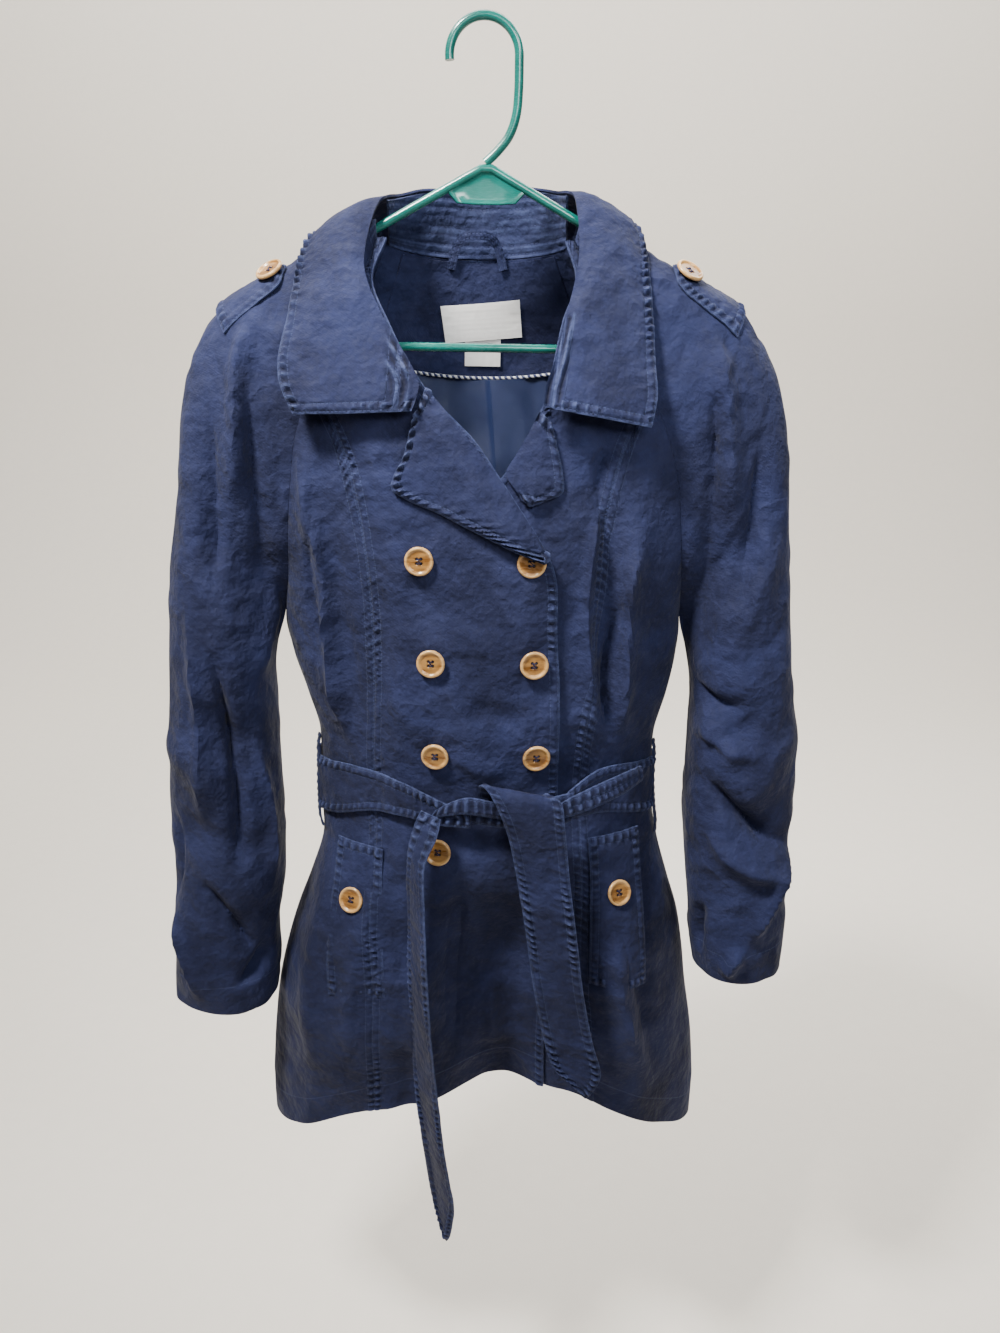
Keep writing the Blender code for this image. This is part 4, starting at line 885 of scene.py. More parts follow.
def cotton_group():
    """Washed navy twill: cloudy fading, a fine diagonal weave, slub, crumpled unrest, two rows of
    topstitching beside each seam, rubbed pale crests along it and painted shade in its troughs."""
    group, n, given, result = new_group(
        "washed_twill", (("Position", "Vector"), ("Edge", "Float"), ("Place", "Float"),
                         ("Hem", "Float"), ("Wear", "Float")),
        (("Color", "Color"), ("Roughness", "Float"), ("Normal", "Vector")))
    place, edge = given["Position"], given["Edge"]
    cloudy = n.noise(place, 16.0, 4.0, 0.6)
    slub = n.noise(place, 210.0, 3.0, 0.6)
    fuzz = n.noise(place, 900.0, 2.0)
    weave = n.add("ShaderNodeTexWave", {"Vector": place, "Scale": 260.0, "Distortion": 1.2,
                                        "Detail": 1.0, "Detail Scale": 2.0},
                  wave_type="BANDS", bands_direction="DIAGONAL").outputs["Fac"]
    crumple = n.noise(place, 34.0, 5.0, 0.55)
    folds = n.noise(place, 15.0, 4.0, 0.5)
    crease = n.math("SUBTRACT", 1.0, n.math("ABSOLUTE", n.math(
        "MULTIPLY", n.math("SUBTRACT", folds, 0.5), 7.0)))
    crease = n.math("MAXIMUM", crease, 0.0)
    dash = n.ramp(n.math("ABSOLUTE", n.math("SUBTRACT", n.math(
        "FRACT", n.math("DIVIDE", given["Place"], 3.1)), 0.5)), 0.34, 0.42, 1.0, 0.0)
    near_row = n.bell(edge, STITCH_NEAR, 0.42)
    far_row = n.bell(edge, STITCH_FAR, 0.42)
    hem_row = n.bell(given["Hem"], HEM_STITCH, 0.5)
    rows = n.math("MINIMUM", n.math("ADD", n.math("ADD", near_row, far_row), hem_row), 1.0)
    thread = n.math("MULTIPLY", rows, dash)
    base = n.mix(n.ramp(cloudy, 0.34, 0.70), COTTON_DEEP, COTTON_FADED)
    base = n.mix(n.math("MULTIPLY", n.ramp(slub, 0.50, 0.72), 0.22), base, COTTON_PALE)
    base = n.mix(n.math("MULTIPLY", weave, 0.04), base, COTTON_PALE)
    base = n.mix(n.math("MULTIPLY", n.ramp(crease, 0.55, 1.0), 0.12), base, COTTON_PALE)
    pale = n.math("MAXIMUM", given["Wear"], 0.0)
    # painted shade: below zero the seam values darken the puckers' troughs
    painted_trough_shade = n.math("MAXIMUM", n.math("MULTIPLY", given["Wear"], -1.0), 0.0)
    rubbed = n.math("MULTIPLY", pale, n.ramp(slub, 0.30, 0.62, 0.35, 1.0))
    base = n.mix(rubbed, n.mix(painted_trough_shade, base, COTTON_SHADE), COTTON_WORN)
    base = n.mix(n.math("MULTIPLY", thread, 0.16), base, COTTON_WORN)
    n.put(base, result["Color"])
    n.put(n.ramp(slub, 0.3, 0.7, 0.78, 0.92), result["Roughness"])
    height = n.math("ADD", n.math("ADD", crumple, n.math("MULTIPLY", crease, 0.22)),
                    n.math("MULTIPLY", slub, 0.06))
    normal = n.bump(height, 0.0085, 0.85)
    fine = n.math("ADD", n.math("MULTIPLY", weave, 0.5), n.math("MULTIPLY", fuzz, 0.5))
    normal = n.bump(fine, 0.00012, 0.6, normal)
    sewn = n.math("SUBTRACT", n.math("MULTIPLY", thread, 0.9), n.math("MULTIPLY", rows, 0.6))
    n.put(n.bump(sewn, 0.0009, 0.9, normal), result["Normal"])
    return group


def yarn_group():
    """Pale woven tape or satin: crossed fine threads and slight unevenness."""
    group, n, given, result = new_group(
        "fine_weave", (("Position", "Vector"), ("Dark", "Color"), ("Light", "Color"),
                       ("Scale", "Float")),
        (("Color", "Color"), ("Roughness", "Float"), ("Normal", "Vector")))
    place = given["Position"]
    threads = []
    for direction in ("X", "Z"):
        threads.append(n.add("ShaderNodeTexWave", {"Vector": place, "Scale": given["Scale"],
                                                   "Distortion": 0.6}, wave_type="BANDS",
                             bands_direction=direction).outputs["Fac"])
    cloth = n.math("MULTIPLY", threads[0], threads[1])
    uneven = n.noise(place, 60.0, 3.0)
    n.put(n.mix(n.math("ADD", n.math("MULTIPLY", cloth, 0.35), n.math("MULTIPLY", uneven, 0.6)),
                given["Dark"], given["Light"]), result["Color"])
    n.put(n.ramp(uneven, 0.3, 0.7, 0.34, 0.5), result["Roughness"])
    n.put(n.bump(n.math("ADD", cloth, n.math("MULTIPLY", uneven, 3.0)), 0.0004, 0.5),
          result["Normal"])
    return group


def cord_group():
    """Two strands, pale and navy, twisted around each other."""
    group, n, given, result = new_group(
        "twisted_cord", (("Position", "Vector"), ("Turn", "Float"), ("Place", "Float")),
        (("Color", "Color"), ("Roughness", "Float"), ("Normal", "Vector")))
    phase = n.math("ADD", given["Turn"], n.math("MULTIPLY", given["Place"], 2 * math.pi / 5.2))
    strand = n.math("SINE", phase)
    n.put(n.mix(n.ramp(strand, -0.15, 0.15), CORD_NAVY, CORD_PALE),
          result["Color"])
    n.put(n.ramp(n.noise(given["Position"], 900.0), 0.3, 0.7, 0.6, 0.85), result["Roughness"])
    n.put(n.bump(n.math("ABSOLUTE", strand), 0.0008, 0.9), result["Normal"])
    return group


def horn_group():
    """Amber horn: cloudy streaks across, a paler rim that is painted highlight, and painted shade
    in the dish and in the holes.
    """
    group, n, given, result = new_group(
        "amber_horn", (("Position", "Vector"), ("Radius", "Float"), ("Hole", "Float")),
        (("Color", "Color"), ("Roughness", "Float"), ("Normal", "Vector")))
    stretched = n.add("ShaderNodeMapping", {"Vector": given["Position"],
                                            "Scale": (0.6, 1.0, 2.6)}).outputs[0]
    streaks = n.noise(stretched, 70.0, 5.0, 0.6)
    body = n.mix(n.ramp(streaks, 0.36, 0.66), HORN_DEEP, HORN_LIT)
    # painted shade: the dish inside the rim is darkened
    dish_shade = n.ramp(given["Radius"], 0.64, 0.78, 0.5, 0.0)
    body = n.mix(dish_shade, body, HORN_DISH_SHADE)
    # painted highlight: the rim is made paler, in patches from a noise
    rim = n.ramp(given["Radius"], 0.74, 0.90)
    highlight_patches = n.ramp(n.noise(given["Position"], 160.0, 3.0), 0.3, 0.6, 0.4, 1.0)
    rim = n.math("MULTIPLY", rim, highlight_patches)
    body = n.mix(n.math("MULTIPLY", rim, 0.6), body, HORN_RIM_HIGHLIGHT)
    # painted shade: the holes are darkened
    n.put(n.mix(given["Hole"], body, HORN_HOLE_SHADE), result["Color"])
    n.put(n.ramp(streaks, 0.3, 0.7, 0.24, 0.40), result["Roughness"])
    n.put(n.bump(n.noise(given["Position"], 300.0, 3.0), 0.0002, 0.4), result["Normal"])
    return group


def plastic_group():
    """Glossy moulded plastic: slight waviness, fine scratches and a faint mottle."""
    group, n, given, result = new_group(
        "moulded_plastic", (("Position", "Vector"),),
        (("Color", "Color"), ("Roughness", "Float"), ("Normal", "Vector")))
    place = given["Position"]
    mottle = n.noise(place, 45.0, 4.0)
    scratch = n.noise(n.add("ShaderNodeMapping", {"Vector": place, "Scale": (1, 1, 14)}).outputs[0],
                      220.0, 2.0)
    n.put(n.mix(n.ramp(mottle, 0.3, 0.7), PLASTIC_DEEP, PLASTIC_LIT), result["Color"])
    n.put(n.ramp(scratch, 0.35, 0.75, 0.18, 0.36), result["Roughness"])
    n.put(n.bump(n.math("ADD", mottle, n.math("MULTIPLY", scratch, 0.1)), 0.0006, 0.3),
          result["Normal"])
    return group


# Colours: the shell cotton at random deep and faded, at its slubs, as painted shade in the puckers'
# troughs, and rubbed
COTTON_DEEP = (0.0072, 0.0098, 0.0350, 1)
COTTON_FADED = (0.0150, 0.0205, 0.0670, 1)
COTTON_PALE = (0.040, 0.048, 0.120, 1)
# painted shade laid into the puckers' troughs
COTTON_SHADE = (0.0028, 0.0034, 0.0130, 1)
COTTON_WORN = (0.110, 0.145, 0.310, 1)
PLASTIC_DEEP = (0.004, 0.110, 0.090, 1)
PLASTIC_LIT = (0.008, 0.165, 0.135, 1)
HORN_DEEP, HORN_LIT = (0.20, 0.080, 0.016, 1), (0.62, 0.33, 0.095, 1)
# the dish colour is painted shade, the rim colour a painted highlight
HORN_DISH_SHADE, HORN_RIM_HIGHLIGHT = (0.13, 0.052, 0.012, 1), (0.72, 0.46, 0.20, 1)
# painted shade in the holes
HORN_HOLE_SHADE = (0.02, 0.012, 0.008, 1)
CORD_NAVY, CORD_PALE = (0.03, 0.04, 0.12, 1), (0.80, 0.80, 0.82, 1)
SATIN_DARK, SATIN_LIGHT = (0.014, 0.022, 0.070, 1), (0.045, 0.066, 0.175, 1)
TAPE_DARK, TAPE_LIGHT = (0.84, 0.82, 0.79, 1), (0.95, 0.94, 0.92, 1)
HEM_STITCH = 29.0     # from the hem up to its row of stitching, in mm


def make_material(name, group, values, attributes, **shader_values):
    """A material whose looks come from a shared node group; attributes maps the group's inputs to
    the mesh's own values."""
    material = bpy.data.materials.new(name)
    material.use_nodes = True
    tree = material.node_tree
    shader = tree.nodes["Principled BSDF"]
    n = Nodes(tree)
    place = n.add("ShaderNodeTexCoord").outputs["Object"]
    node = n.add("ShaderNodeGroup", node_tree=group)
    n.put(place, node.inputs["Position"])
    for key, value in values.items():
        n.put(value, node.inputs[key])
    for key, attribute in attributes.items():
        n.put(n.add("ShaderNodeAttribute", attribute_name=attribute).outputs["Fac"],
              node.inputs[key])
    n.put(node.outputs["Color"], shader.inputs["Base Color"])
    n.put(node.outputs["Roughness"], shader.inputs["Roughness"])
    n.put(node.outputs["Normal"], shader.inputs["Normal"])
    for key, value in shader_values.items():
        shader.inputs[key.replace("_", " ")].default_value = value
    return material


def make_materials():
    weave = yarn_group()
    seams = {"Edge": "edge", "Place": "place", "Hem": "hem", "Wear": "wear"}
    return {
        "navy_cotton": make_material("navy_cotton_look", cotton_group(), {}, seams,
                                     Sheen_Weight=0.03, Sheen_Roughness=0.5,
                                     Specular_IOR_Level=0.25),
        "lining_satin": make_material("lining_satin_look", weave,
                                      {"Dark": SATIN_DARK, "Light": SATIN_LIGHT,
                                       "Scale": 420.0}, {},
                                      Anisotropic=0.3, Specular_IOR_Level=0.6),
        "label_tape": make_material("label_tape_look", weave,
                                    {"Dark": TAPE_DARK, "Light": TAPE_LIGHT, "Scale": 300.0}, {}),
        "piping_cord": make_material("piping_cord_look", cord_group(), {},
                                     {"Turn": "edge", "Place": "place"}),
        "button_horn": make_material("button_horn_look", horn_group(), {},
                                     {"Radius": "edge", "Hole": "place"}, Coat_Weight=0.4,
                                     Coat_Roughness=0.15),
        "hanger_plastic": make_material("hanger_plastic_look", plastic_group(), {}, {},
                                        Coat_Weight=0.5, Coat_Roughness=0.08),
    }


MATERIALS = make_materials()


# --- body and sleeves -----------------------------------------------------------------------------


# Mean widths of the panels, in mm, which set the steps across them
FRONT_WIDTH = 130.0
SIDE_WIDTH = 75.0
BACK_WIDTH = 170.0
UNDERLAP = 0.012      # of s, by which a side front reaches under the front at the princess seam
BODY_MIDDLE = (0, 0, -500)


def fine_front(word):
    """The front panel from its princess seam to its edge, and the right front over the left."""
    z = np.linspace(ROW_Z[0], ROW_Z[-1], 300)
    sewn = z <= PRINCESS["z"][-1]
    seam = np.where(sewn, through(PRINCESS["z"], PRINCESS[word], z), through(ROW_Z, BODY[word], z))
    edge = through(FRONT_EDGE["z"], FRONT_EDGE[word], z)
    t = places(FRONT_WIDTH, 3.0) / FRONT_WIDTH
    x = between(seam[:, None], edge[:, None], t)
    rows = z[:, None] + 0 * x
    rise = body_creases("front", x, rows)
    if word == "right":
        rise = rise + OVERLAP_RISE * smoothstep((x - x[:, :1]) / 30.0)
    else:
        edge_of_right = through(FRONT_EDGE["z"], FRONT_EDGE["right"], rows)
        rise = rise * smoothstep((x - edge_of_right) / 12.0)
    return body_point("front", s_at("front", x, rows), rows, rise)


def add_fronts():
    """Both fronts, and the side fronts that meet them at the princess seams."""
    for side, word in RIGHT_LEFT:
        grid = fine_front(word)
        lay_cloth("front_panel_" + word, pulled_in(grid), BODY_MIDDLE,
                  BOTH_SIDES, ["front_" + word], seed=1.3 + side,
                  strength=0.75, hem=lengths(grid, 0))
        z = np.linspace(ROW_Z[0], PRINCESS["z"][-1], 250)
        seam = through(PRINCESS["z"], PRINCESS[word], z)
        s_seam = s_at("front", seam, z)
        t = places(SIDE_WIDTH, 2.6) / SIDE_WIDTH
        s = between(float(side), s_seam[:, None] - side * UNDERLAP, t)
        rows = z[:, None] + 0 * s
        x = body_point("front", s, rows)[..., 0]
        fade = smoothstep((1 - np.abs(s)) / 0.2)
        grid = body_point("front", s, rows, body_creases("front", x, rows) * fade)
        lay_cloth("side_panel_" + word, pulled_in(grid), BODY_MIDDLE, ("last_column",),
                  ["side_front_" + word], seed=1.3 + side, strength=0.7, hem=lengths(grid, 0))


def add_backs():
    """Both backs, from the side seams to the centre back seam."""
    z = np.linspace(ROW_Z[0], ROW_Z[-1], 210)
    for side, word in RIGHT_LEFT:
        t = places(BACK_WIDTH, 5.0) / BACK_WIDTH
        s = side * (1 - t)[None, :] + 0 * z[:, None]
        rows = z[:, None] + 0 * s
        x = body_point("back", s, rows)[..., 0]
        fade = smoothstep((1 - np.abs(s)) / 0.2)
        grid = body_point("back", s, rows, body_creases("back", x, rows) * fade)
        lay_cloth("back_panel_" + word, pulled_in(grid), BODY_MIDDLE, ("last_column",),
                  ["back_" + word], seed=3.1 + side, hem=lengths(grid, 0))


def add_sleeves():
    """Both sleeves, each in a front and a back half."""
    for side, word in RIGHT_LEFT:
        for face, sign, rows, spacing in (("front", -1, 300, 3.4), ("back", 1, 220, 6.0)):
            ring = np.linspace(0, CUFF_RINGS, rows)[:, None]
            t = places(U_MM, spacing) / U_MM
            u = sign * (1 - t)[None, :]
            u = np.where(np.abs(u) < 1e-9, sign * 1e-9, u)
            rise = sleeve_creases(side, ring + 0 * u, u + 0 * ring)
            rise = rise * smoothstep((1 - np.abs(u)) / 0.12) * smoothstep(ring / 1.0)
            grid = sleeve_point(side, ring, u, rise)
            middle = sleeve_point(side, np.arange(CUFF_RINGS + 1.0)[:, None],
                                  np.array([[-1.0, 0.0, 1.0]])).mean(axis=(0, 1))
            lay_cloth("sleeve_%s_panel_%s" % (face, word), pulled_in(grid), middle,
                      ("first_row",), ["sleeve_%s_%s" % (face, word)],
                      seed=0.7 * side + sign, strength=0.6, hem=lengths(grid[::-1], 0)[::-1])


# --- collar, lapels, stand, epaulettes, pockets ---------------------------------------------------


def collar_grid(front, back):
    """The collar's fall as a Bezier surface from its roll to its edge, kept clear of the shell."""
    roll, edge, lift = collar_rows(33)
    t = np.linspace(0, 1, 5)[None, :, None]
    start, end, rise = roll[:, None], edge[:, None], lift[:, None]
    control_in = start + 0.15 * (end - start) + rise
    control_out = start + 0.7 * (end - start) + 0.8 * rise
    grid = bezier(start, control_in, control_out, end, t)
    x, y, z = np.moveaxis(grid, -1, 0)
    ahead = np.minimum(y, skin_y(front, x, z) - COLLAR_CLEAR)
    behind = np.maximum(y, skin_y(back, x, z) + COLLAR_CLEAR)
    on_front = smoothstep((-y - 3) / 9)
    on_back = smoothstep((y - 9) / 9)
    grid[..., 1] = y + on_front * (ahead - y) + on_back * (behind - y)
    return grid


def waved(grid, toward, height, seed):
    """The grid with slow unrest along its normals."""
    normal, _ = surface_normals(grid, np.asarray(toward, float))
    a, b = lengths(grid, 1), lengths(grid, 0)
    return grid + (height * ripple(a, b, seed))[..., None] * normal


# A stitched line runs down each leaf of the collar: its x at the top and at the bottom
LEAF_JOINS = ((-60, -64), (60, 52))
LEAF_TOP, LEAF_BOTTOM = -205.0, -275.0


def add_collar(front, back):
    """The collar's fall, with the stitched line down each leaf."""
    toward = (-7, 10, -260)
    grid = waved(refined(collar_grid(front, back), 2.4), toward, 1.1, 0.6)
    x, y, z = np.moveaxis(grid, -1, 0)
    join = np.full(x.shape, FAR)
    for top, bottom in LEAF_JOINS:
        line = bottom + (top - bottom) * (z - LEAF_BOTTOM) / (LEAF_TOP - LEAF_BOTTOM)
        distance = np.where((y < -20) & (z < LEAF_TOP), x - line, FAR)
        join = np.where(np.abs(distance) < np.abs(join), distance, join)
    lay_cloth("collar_fall_cloth", grid, toward, ("first_row", "last_row", "last_column"),
              ["collar_fall"], seed=0.9, strength=1.3, join=join)


STAND_ROW_GAP = 7.0   # between the rows of stitching that stiffen the stand


def add_stand():
    """The band at the back of the neck, from the neck seam up to the collar's roll."""
    count = 15
    last = len(COLLAR["roll_x"]) - 1
    roll, _, _ = collar_rows(count, STAND_START, last - STAND_START)
    s = np.linspace(-0.93, 0.93, count)
    seam = body_point("back", s, np.full(count, ROW_Z[-1]))
    seam[:, 2] += 0.7
    top = roll - np.array([0, 0, WALL + 1.1])
    t = np.linspace(0, 1, 4)[None, :, None]
    toward = np.array([-7.0, 0, -150])
    grid = refined(between(seam[:, None], top[:, None], t), 2.0)
    up = lengths(grid, 1)
    normal, flip = surface_normals(grid, toward)
    inside = grid - WALL * normal
    around = lengths(grid, 0)
    ridges = 0.5 * np.cos(up * 2 * np.pi / STAND_ROW_GAP) * (0.7 + 0.5 * pucker(around, 0.4))
    inside = inside - ridges[..., None] * normal
    points, faces = wall_mesh(grid, inside, flip)
    phase = np.abs((up / STAND_ROW_GAP) % 1.0 - 0.5) * STAND_ROW_GAP + STITCH_NEAR
    fields = both_sides(edge=phase, place=around, hem=np.full(up.shape, FAR),
                        wear=0.3 * bell(phase, 4.0, 1.0))
    new_piece("collar_stand_cloth", points, faces, fields, "navy_cotton", ["collar_stand"])


def add_lapels(front):
    """The turned-out tops of the front facings."""
    toward = (0, 300, -300)
    for word, rows, seed in (("right", LAPEL_RIGHT, 0.2), ("left", LAPEL_LEFT, 1.4)):
        values = sampled(rows, 13)
        t = np.linspace(0, 1, 5)[None, :]
        x, z, rise = (between(values["fold_" + name][:, None], values["edge_" + name][:, None], t)
                      for name in ("x", "z", "rise"))
        y = skin_y(front, x, z) - rise - 1.5 * np.sin(np.pi * t)
        grid = waved(refined(np.stack([x, y, z], -1), 1.8), toward, 0.7, seed)
        lay_cloth("lapel_cloth_" + word, grid, toward, ("first_row", "last_row", "last_column"),
                  ["lapel_" + word], seed=seed, strength=1.4)


def add_epaulettes():
    """A tab along the top of each sleeve, from the shoulder end to its point by the collar."""
    values = sampled(EPAULETTE, 9)
    ring = values["ring"][:, None]
    t = np.linspace(0, 1, 6)[None, :]
    u = between(values["u_front"][:, None], values["u_back"][:, None], t)
    for side, word in RIGHT_LEFT:
        grid = refined(sleeve_point(side, ring + 0 * t, u, EPAULETTE_RISE + 0.8), 1.8)
        toward = sleeve_point(side, 4.0, -0.1) - np.array([0, 0, 60])
        lay_cloth("epaulette_cloth_" + word, grid, toward,
                  ALL_ROUND,
                  ["epaulette_" + word], seed=2.0 + side, strength=0.8)


def add_welts():
    """A slanted strip over each pocket."""
    for word, rows in (("right", WELT_RIGHT), ("left", WELT_LEFT)):
        t = np.linspace(0, 1, 4)[None, :]
        x = between(rows["x_front"][:, None], rows["x_side"][:, None], t)
        z = rows["z"][:, None] + 0 * t
        grid = refined(front_at(x, z, rows["rise"][:, None] + 1.2), 2.0)
        lay_cloth("pocket_welt_cloth_" + word, grid, (0, 300, -700),
                  ALL_ROUND,
                  ["pocket_welt_" + word], seed=0.5, strength=0.7)


# --- belt -----------------------------------------------------------------------------------------

# The wide tail from behind the knot, over its top and down to the tip; tilt turns a section in the
# plane of the front
WIDE_TAIL = table(
    "x y z half_width turn tilt",
    (30, -94, -592, 27, 2, 6),
    (30, -101, -576, 29, 2, 7),
    (35, -109, -571, 31, 2, 8),
    (41, -115, -578, 29, 3, 6),
    (46, -117, -594, 25.5, 4, 2),
    (51, -115, -618, 23.5, 5, 2),
    (56, -114, -650, 22.5, 6, 4),
    (64, -115, -700, 22, 8, 5),
    (71, -117, -750, 22, 10, 5),
    (81, -119, -800, 22, 8, 5),
    (89, -121, -828, 22, 6, 4),
    (93, -122, -840, 18, 6, 3),
    (98, -122, -855, 7, 6, 3),
    (100, -122, -862, 1, 6, 3))
NARROW_TAIL = table(
    "x y z half_width turn tilt",
    (-38, -99, -598, 9, 10, 20),
    (-43, -106, -612, 12, 35, 8),
    (-50, -112, -632, 14, 56, 0),
    (-51, -116, -660, 17, 60, 0),
    (-50, -118, -700, 20, 64, 0),
    (-49, -119, -750, 22, 64, 0),
    (-47, -118, -800, 22, 62, 0),
    (-43, -112, -870, 23, 58, 0),
    (-38, -106, -930, 23, 58, 0),
    (-31, -104, -985, 22, 56, 0),
    (-29, -103, -1012, 17, 56, 0),
    (-27, -103, -1036, 9, 56, 0),
    (-26, -103, -1048, 1.5, 56, 0))
# A short turn of the belt that shows above the left of the knot
KNOT_TURN = table(
    "x y z half_width turn tilt",
    (-36, -94, -600, 4, 0, -70),
    (-24, -99, -593, 6, 0, -80),
    (-8, -103, -588, 7.5, 0, -90),
    (10, -104, -590, 7.5, 0, -96),
    (26, -100, -594, 7, 0, -100))
KNOT_BACK = table(
    "x y z half_width turn tilt",
    (-20, -91, -600, 5, 0, -80),
    (2, -96, -600, 8, 0, -88),
    (24, -100, -597, 12, 0, -90),
    (44, -101, -596, 14, 0, -90),
    (62, -98, -596, 15, 0, -90),
    (78, -93, -592, 13, 0, -96))
# The belt's left stretch, folded on itself: its upper fold and its lower band
BELT_FOLD = table(
    "x y z half_width turn tilt",
    (64, -100, -595, 6, 0, -96),
    (80, -99, -588, 8, 0, -108),
    (100, -93, -581, 9, 0, -108),
    (122, -78, -577, 9, 0, -104),
    (142, -52, -578, 7, 0, -100))


def ribbon(rows, count):
    """A strip across a path: sections with a half width, a turn about Z and a tilt about Y."""
    values = sampled(rows, count)
    turn, tilt = np.radians(values["turn"]), np.radians(values["tilt"])
    level = np.cos(tilt)
    across = np.stack([np.cos(turn) * level, -np.sin(turn) * level, -np.sin(tilt)], -1)
    middle = np.stack([values["x"], values["y"], values["z"]], -1)
    t = np.linspace(-1, 1, 5)[None, :, None]
    return middle[:, None] + t * values["half_width"][:, None, None] * across[:, None]


def off_cloth(grid, front, gap):
    """The grid moved forward where it comes nearer to the fronts than the gap."""
    clear = skin_y(front, grid[..., 0], grid[..., 2]) - gap
    grid[..., 1] = np.minimum(grid[..., 1], clear)
    return grid


def add_belt(front):
    """The belt's stretches, tails and knot, and the loops that carry it."""
    for word, rows in (("right", BELT_RIGHT), ("left", BELT_LEFT)):
        at = np.linspace(rows["x"][0], rows["x"][-1], 12)
        values = {name: through(rows["x"], column, at)[:, None] for name, column in rows.items()}
        t = np.linspace(0, 1, 4)[None, :]
        z = between(values["top"], values["bottom"], t)
        x = at[:, None] + 0 * t
        grid = refined(front_at(x, z, values["rise"]), 1.8)
        lay_cloth("belt_cloth_" + word, waved(grid, (0, 300, -590), 0.7, 0.3), (0, 300, -590),
                  BOTH_SIDES, ["belt_front_" + word], seed=0.8, strength=0.9)
    s = np.linspace(-0.96, 0.96, 23)[:, None]
    z = np.linspace(BELT_BACK_TOP, BELT_BACK_TOP - BELT_WIDTH, 4)[None, :]
    grid = refined(body_point("back", s + 0 * z, z + 0 * s, 4.4), 2.4)
    lay_cloth("belt_cloth_back", grid, (0, 0, -590), BOTH_SIDES, ["belt_back"], seed=1.9,
              strength=0.8)
    for name, rows, count, gap, nodes, borders in (
            ("belt_tail_cloth_wide", WIDE_TAIL, 30, 4.2, ["belt_tail_wide"], ALL_ROUND),
            ("belt_tail_cloth_narrow", NARROW_TAIL, 24, 4.2, ["belt_tail_narrow"], ALL_ROUND),
            ("belt_knot_turn", KNOT_TURN, 12, 4.0, ["belt_knot"], BOTH_SIDES),
            ("belt_knot_back", KNOT_BACK, 12, 3.0, ["belt_knot"], BOTH_SIDES),
            ("belt_fold_left", BELT_FOLD, 12, 8.0, [], BOTH_SIDES)):
        grid = refined(off_cloth(ribbon(rows, count), front, gap), 2.0)
        grid = waved(grid, (0, 300, -700), 0.8, 0.9)
        lay_cloth(name, grid, (0, 300, -700), borders, nodes, wall=1.6, seed=0.6, strength=0.9)
    for side, word in RIGHT_LEFT:
        z = np.linspace(BELT_LOOP["top"], BELT_LOOP["bottom"], 9)[:, None]
        t = np.linspace(-1, 1, 9)[:, None]
        rise = BELT_LOOP["foot_rise"] + BELT_LOOP["lift"] * smoothstep((1 - np.abs(t)) / 0.3)
        s = side * (BELT_LOOP["s"] + np.array([[-0.5, 0.0, 0.5]]) * BELT_LOOP["s_width"])
        grid = refined(body_point("front", s + 0 * z, z + 0 * s, rise + 0 * s), 1.5)
        lay_cloth("belt_carrier_" + word, grid, (0, 0, -580), BOTH_SIDES, ["belt_loop_" + word],
                  strength=0.5)


# --- inside the neck ------------------------------------------------------------------------------


FACING_REACH = 5 / 7  # of s, to either side of the middle
LINING_PLEAT = 7.0    # depth of the lining's pleat beside the middle, in mm
LINING_DRAPE = 4.0    # depth of its soft folds, in mm


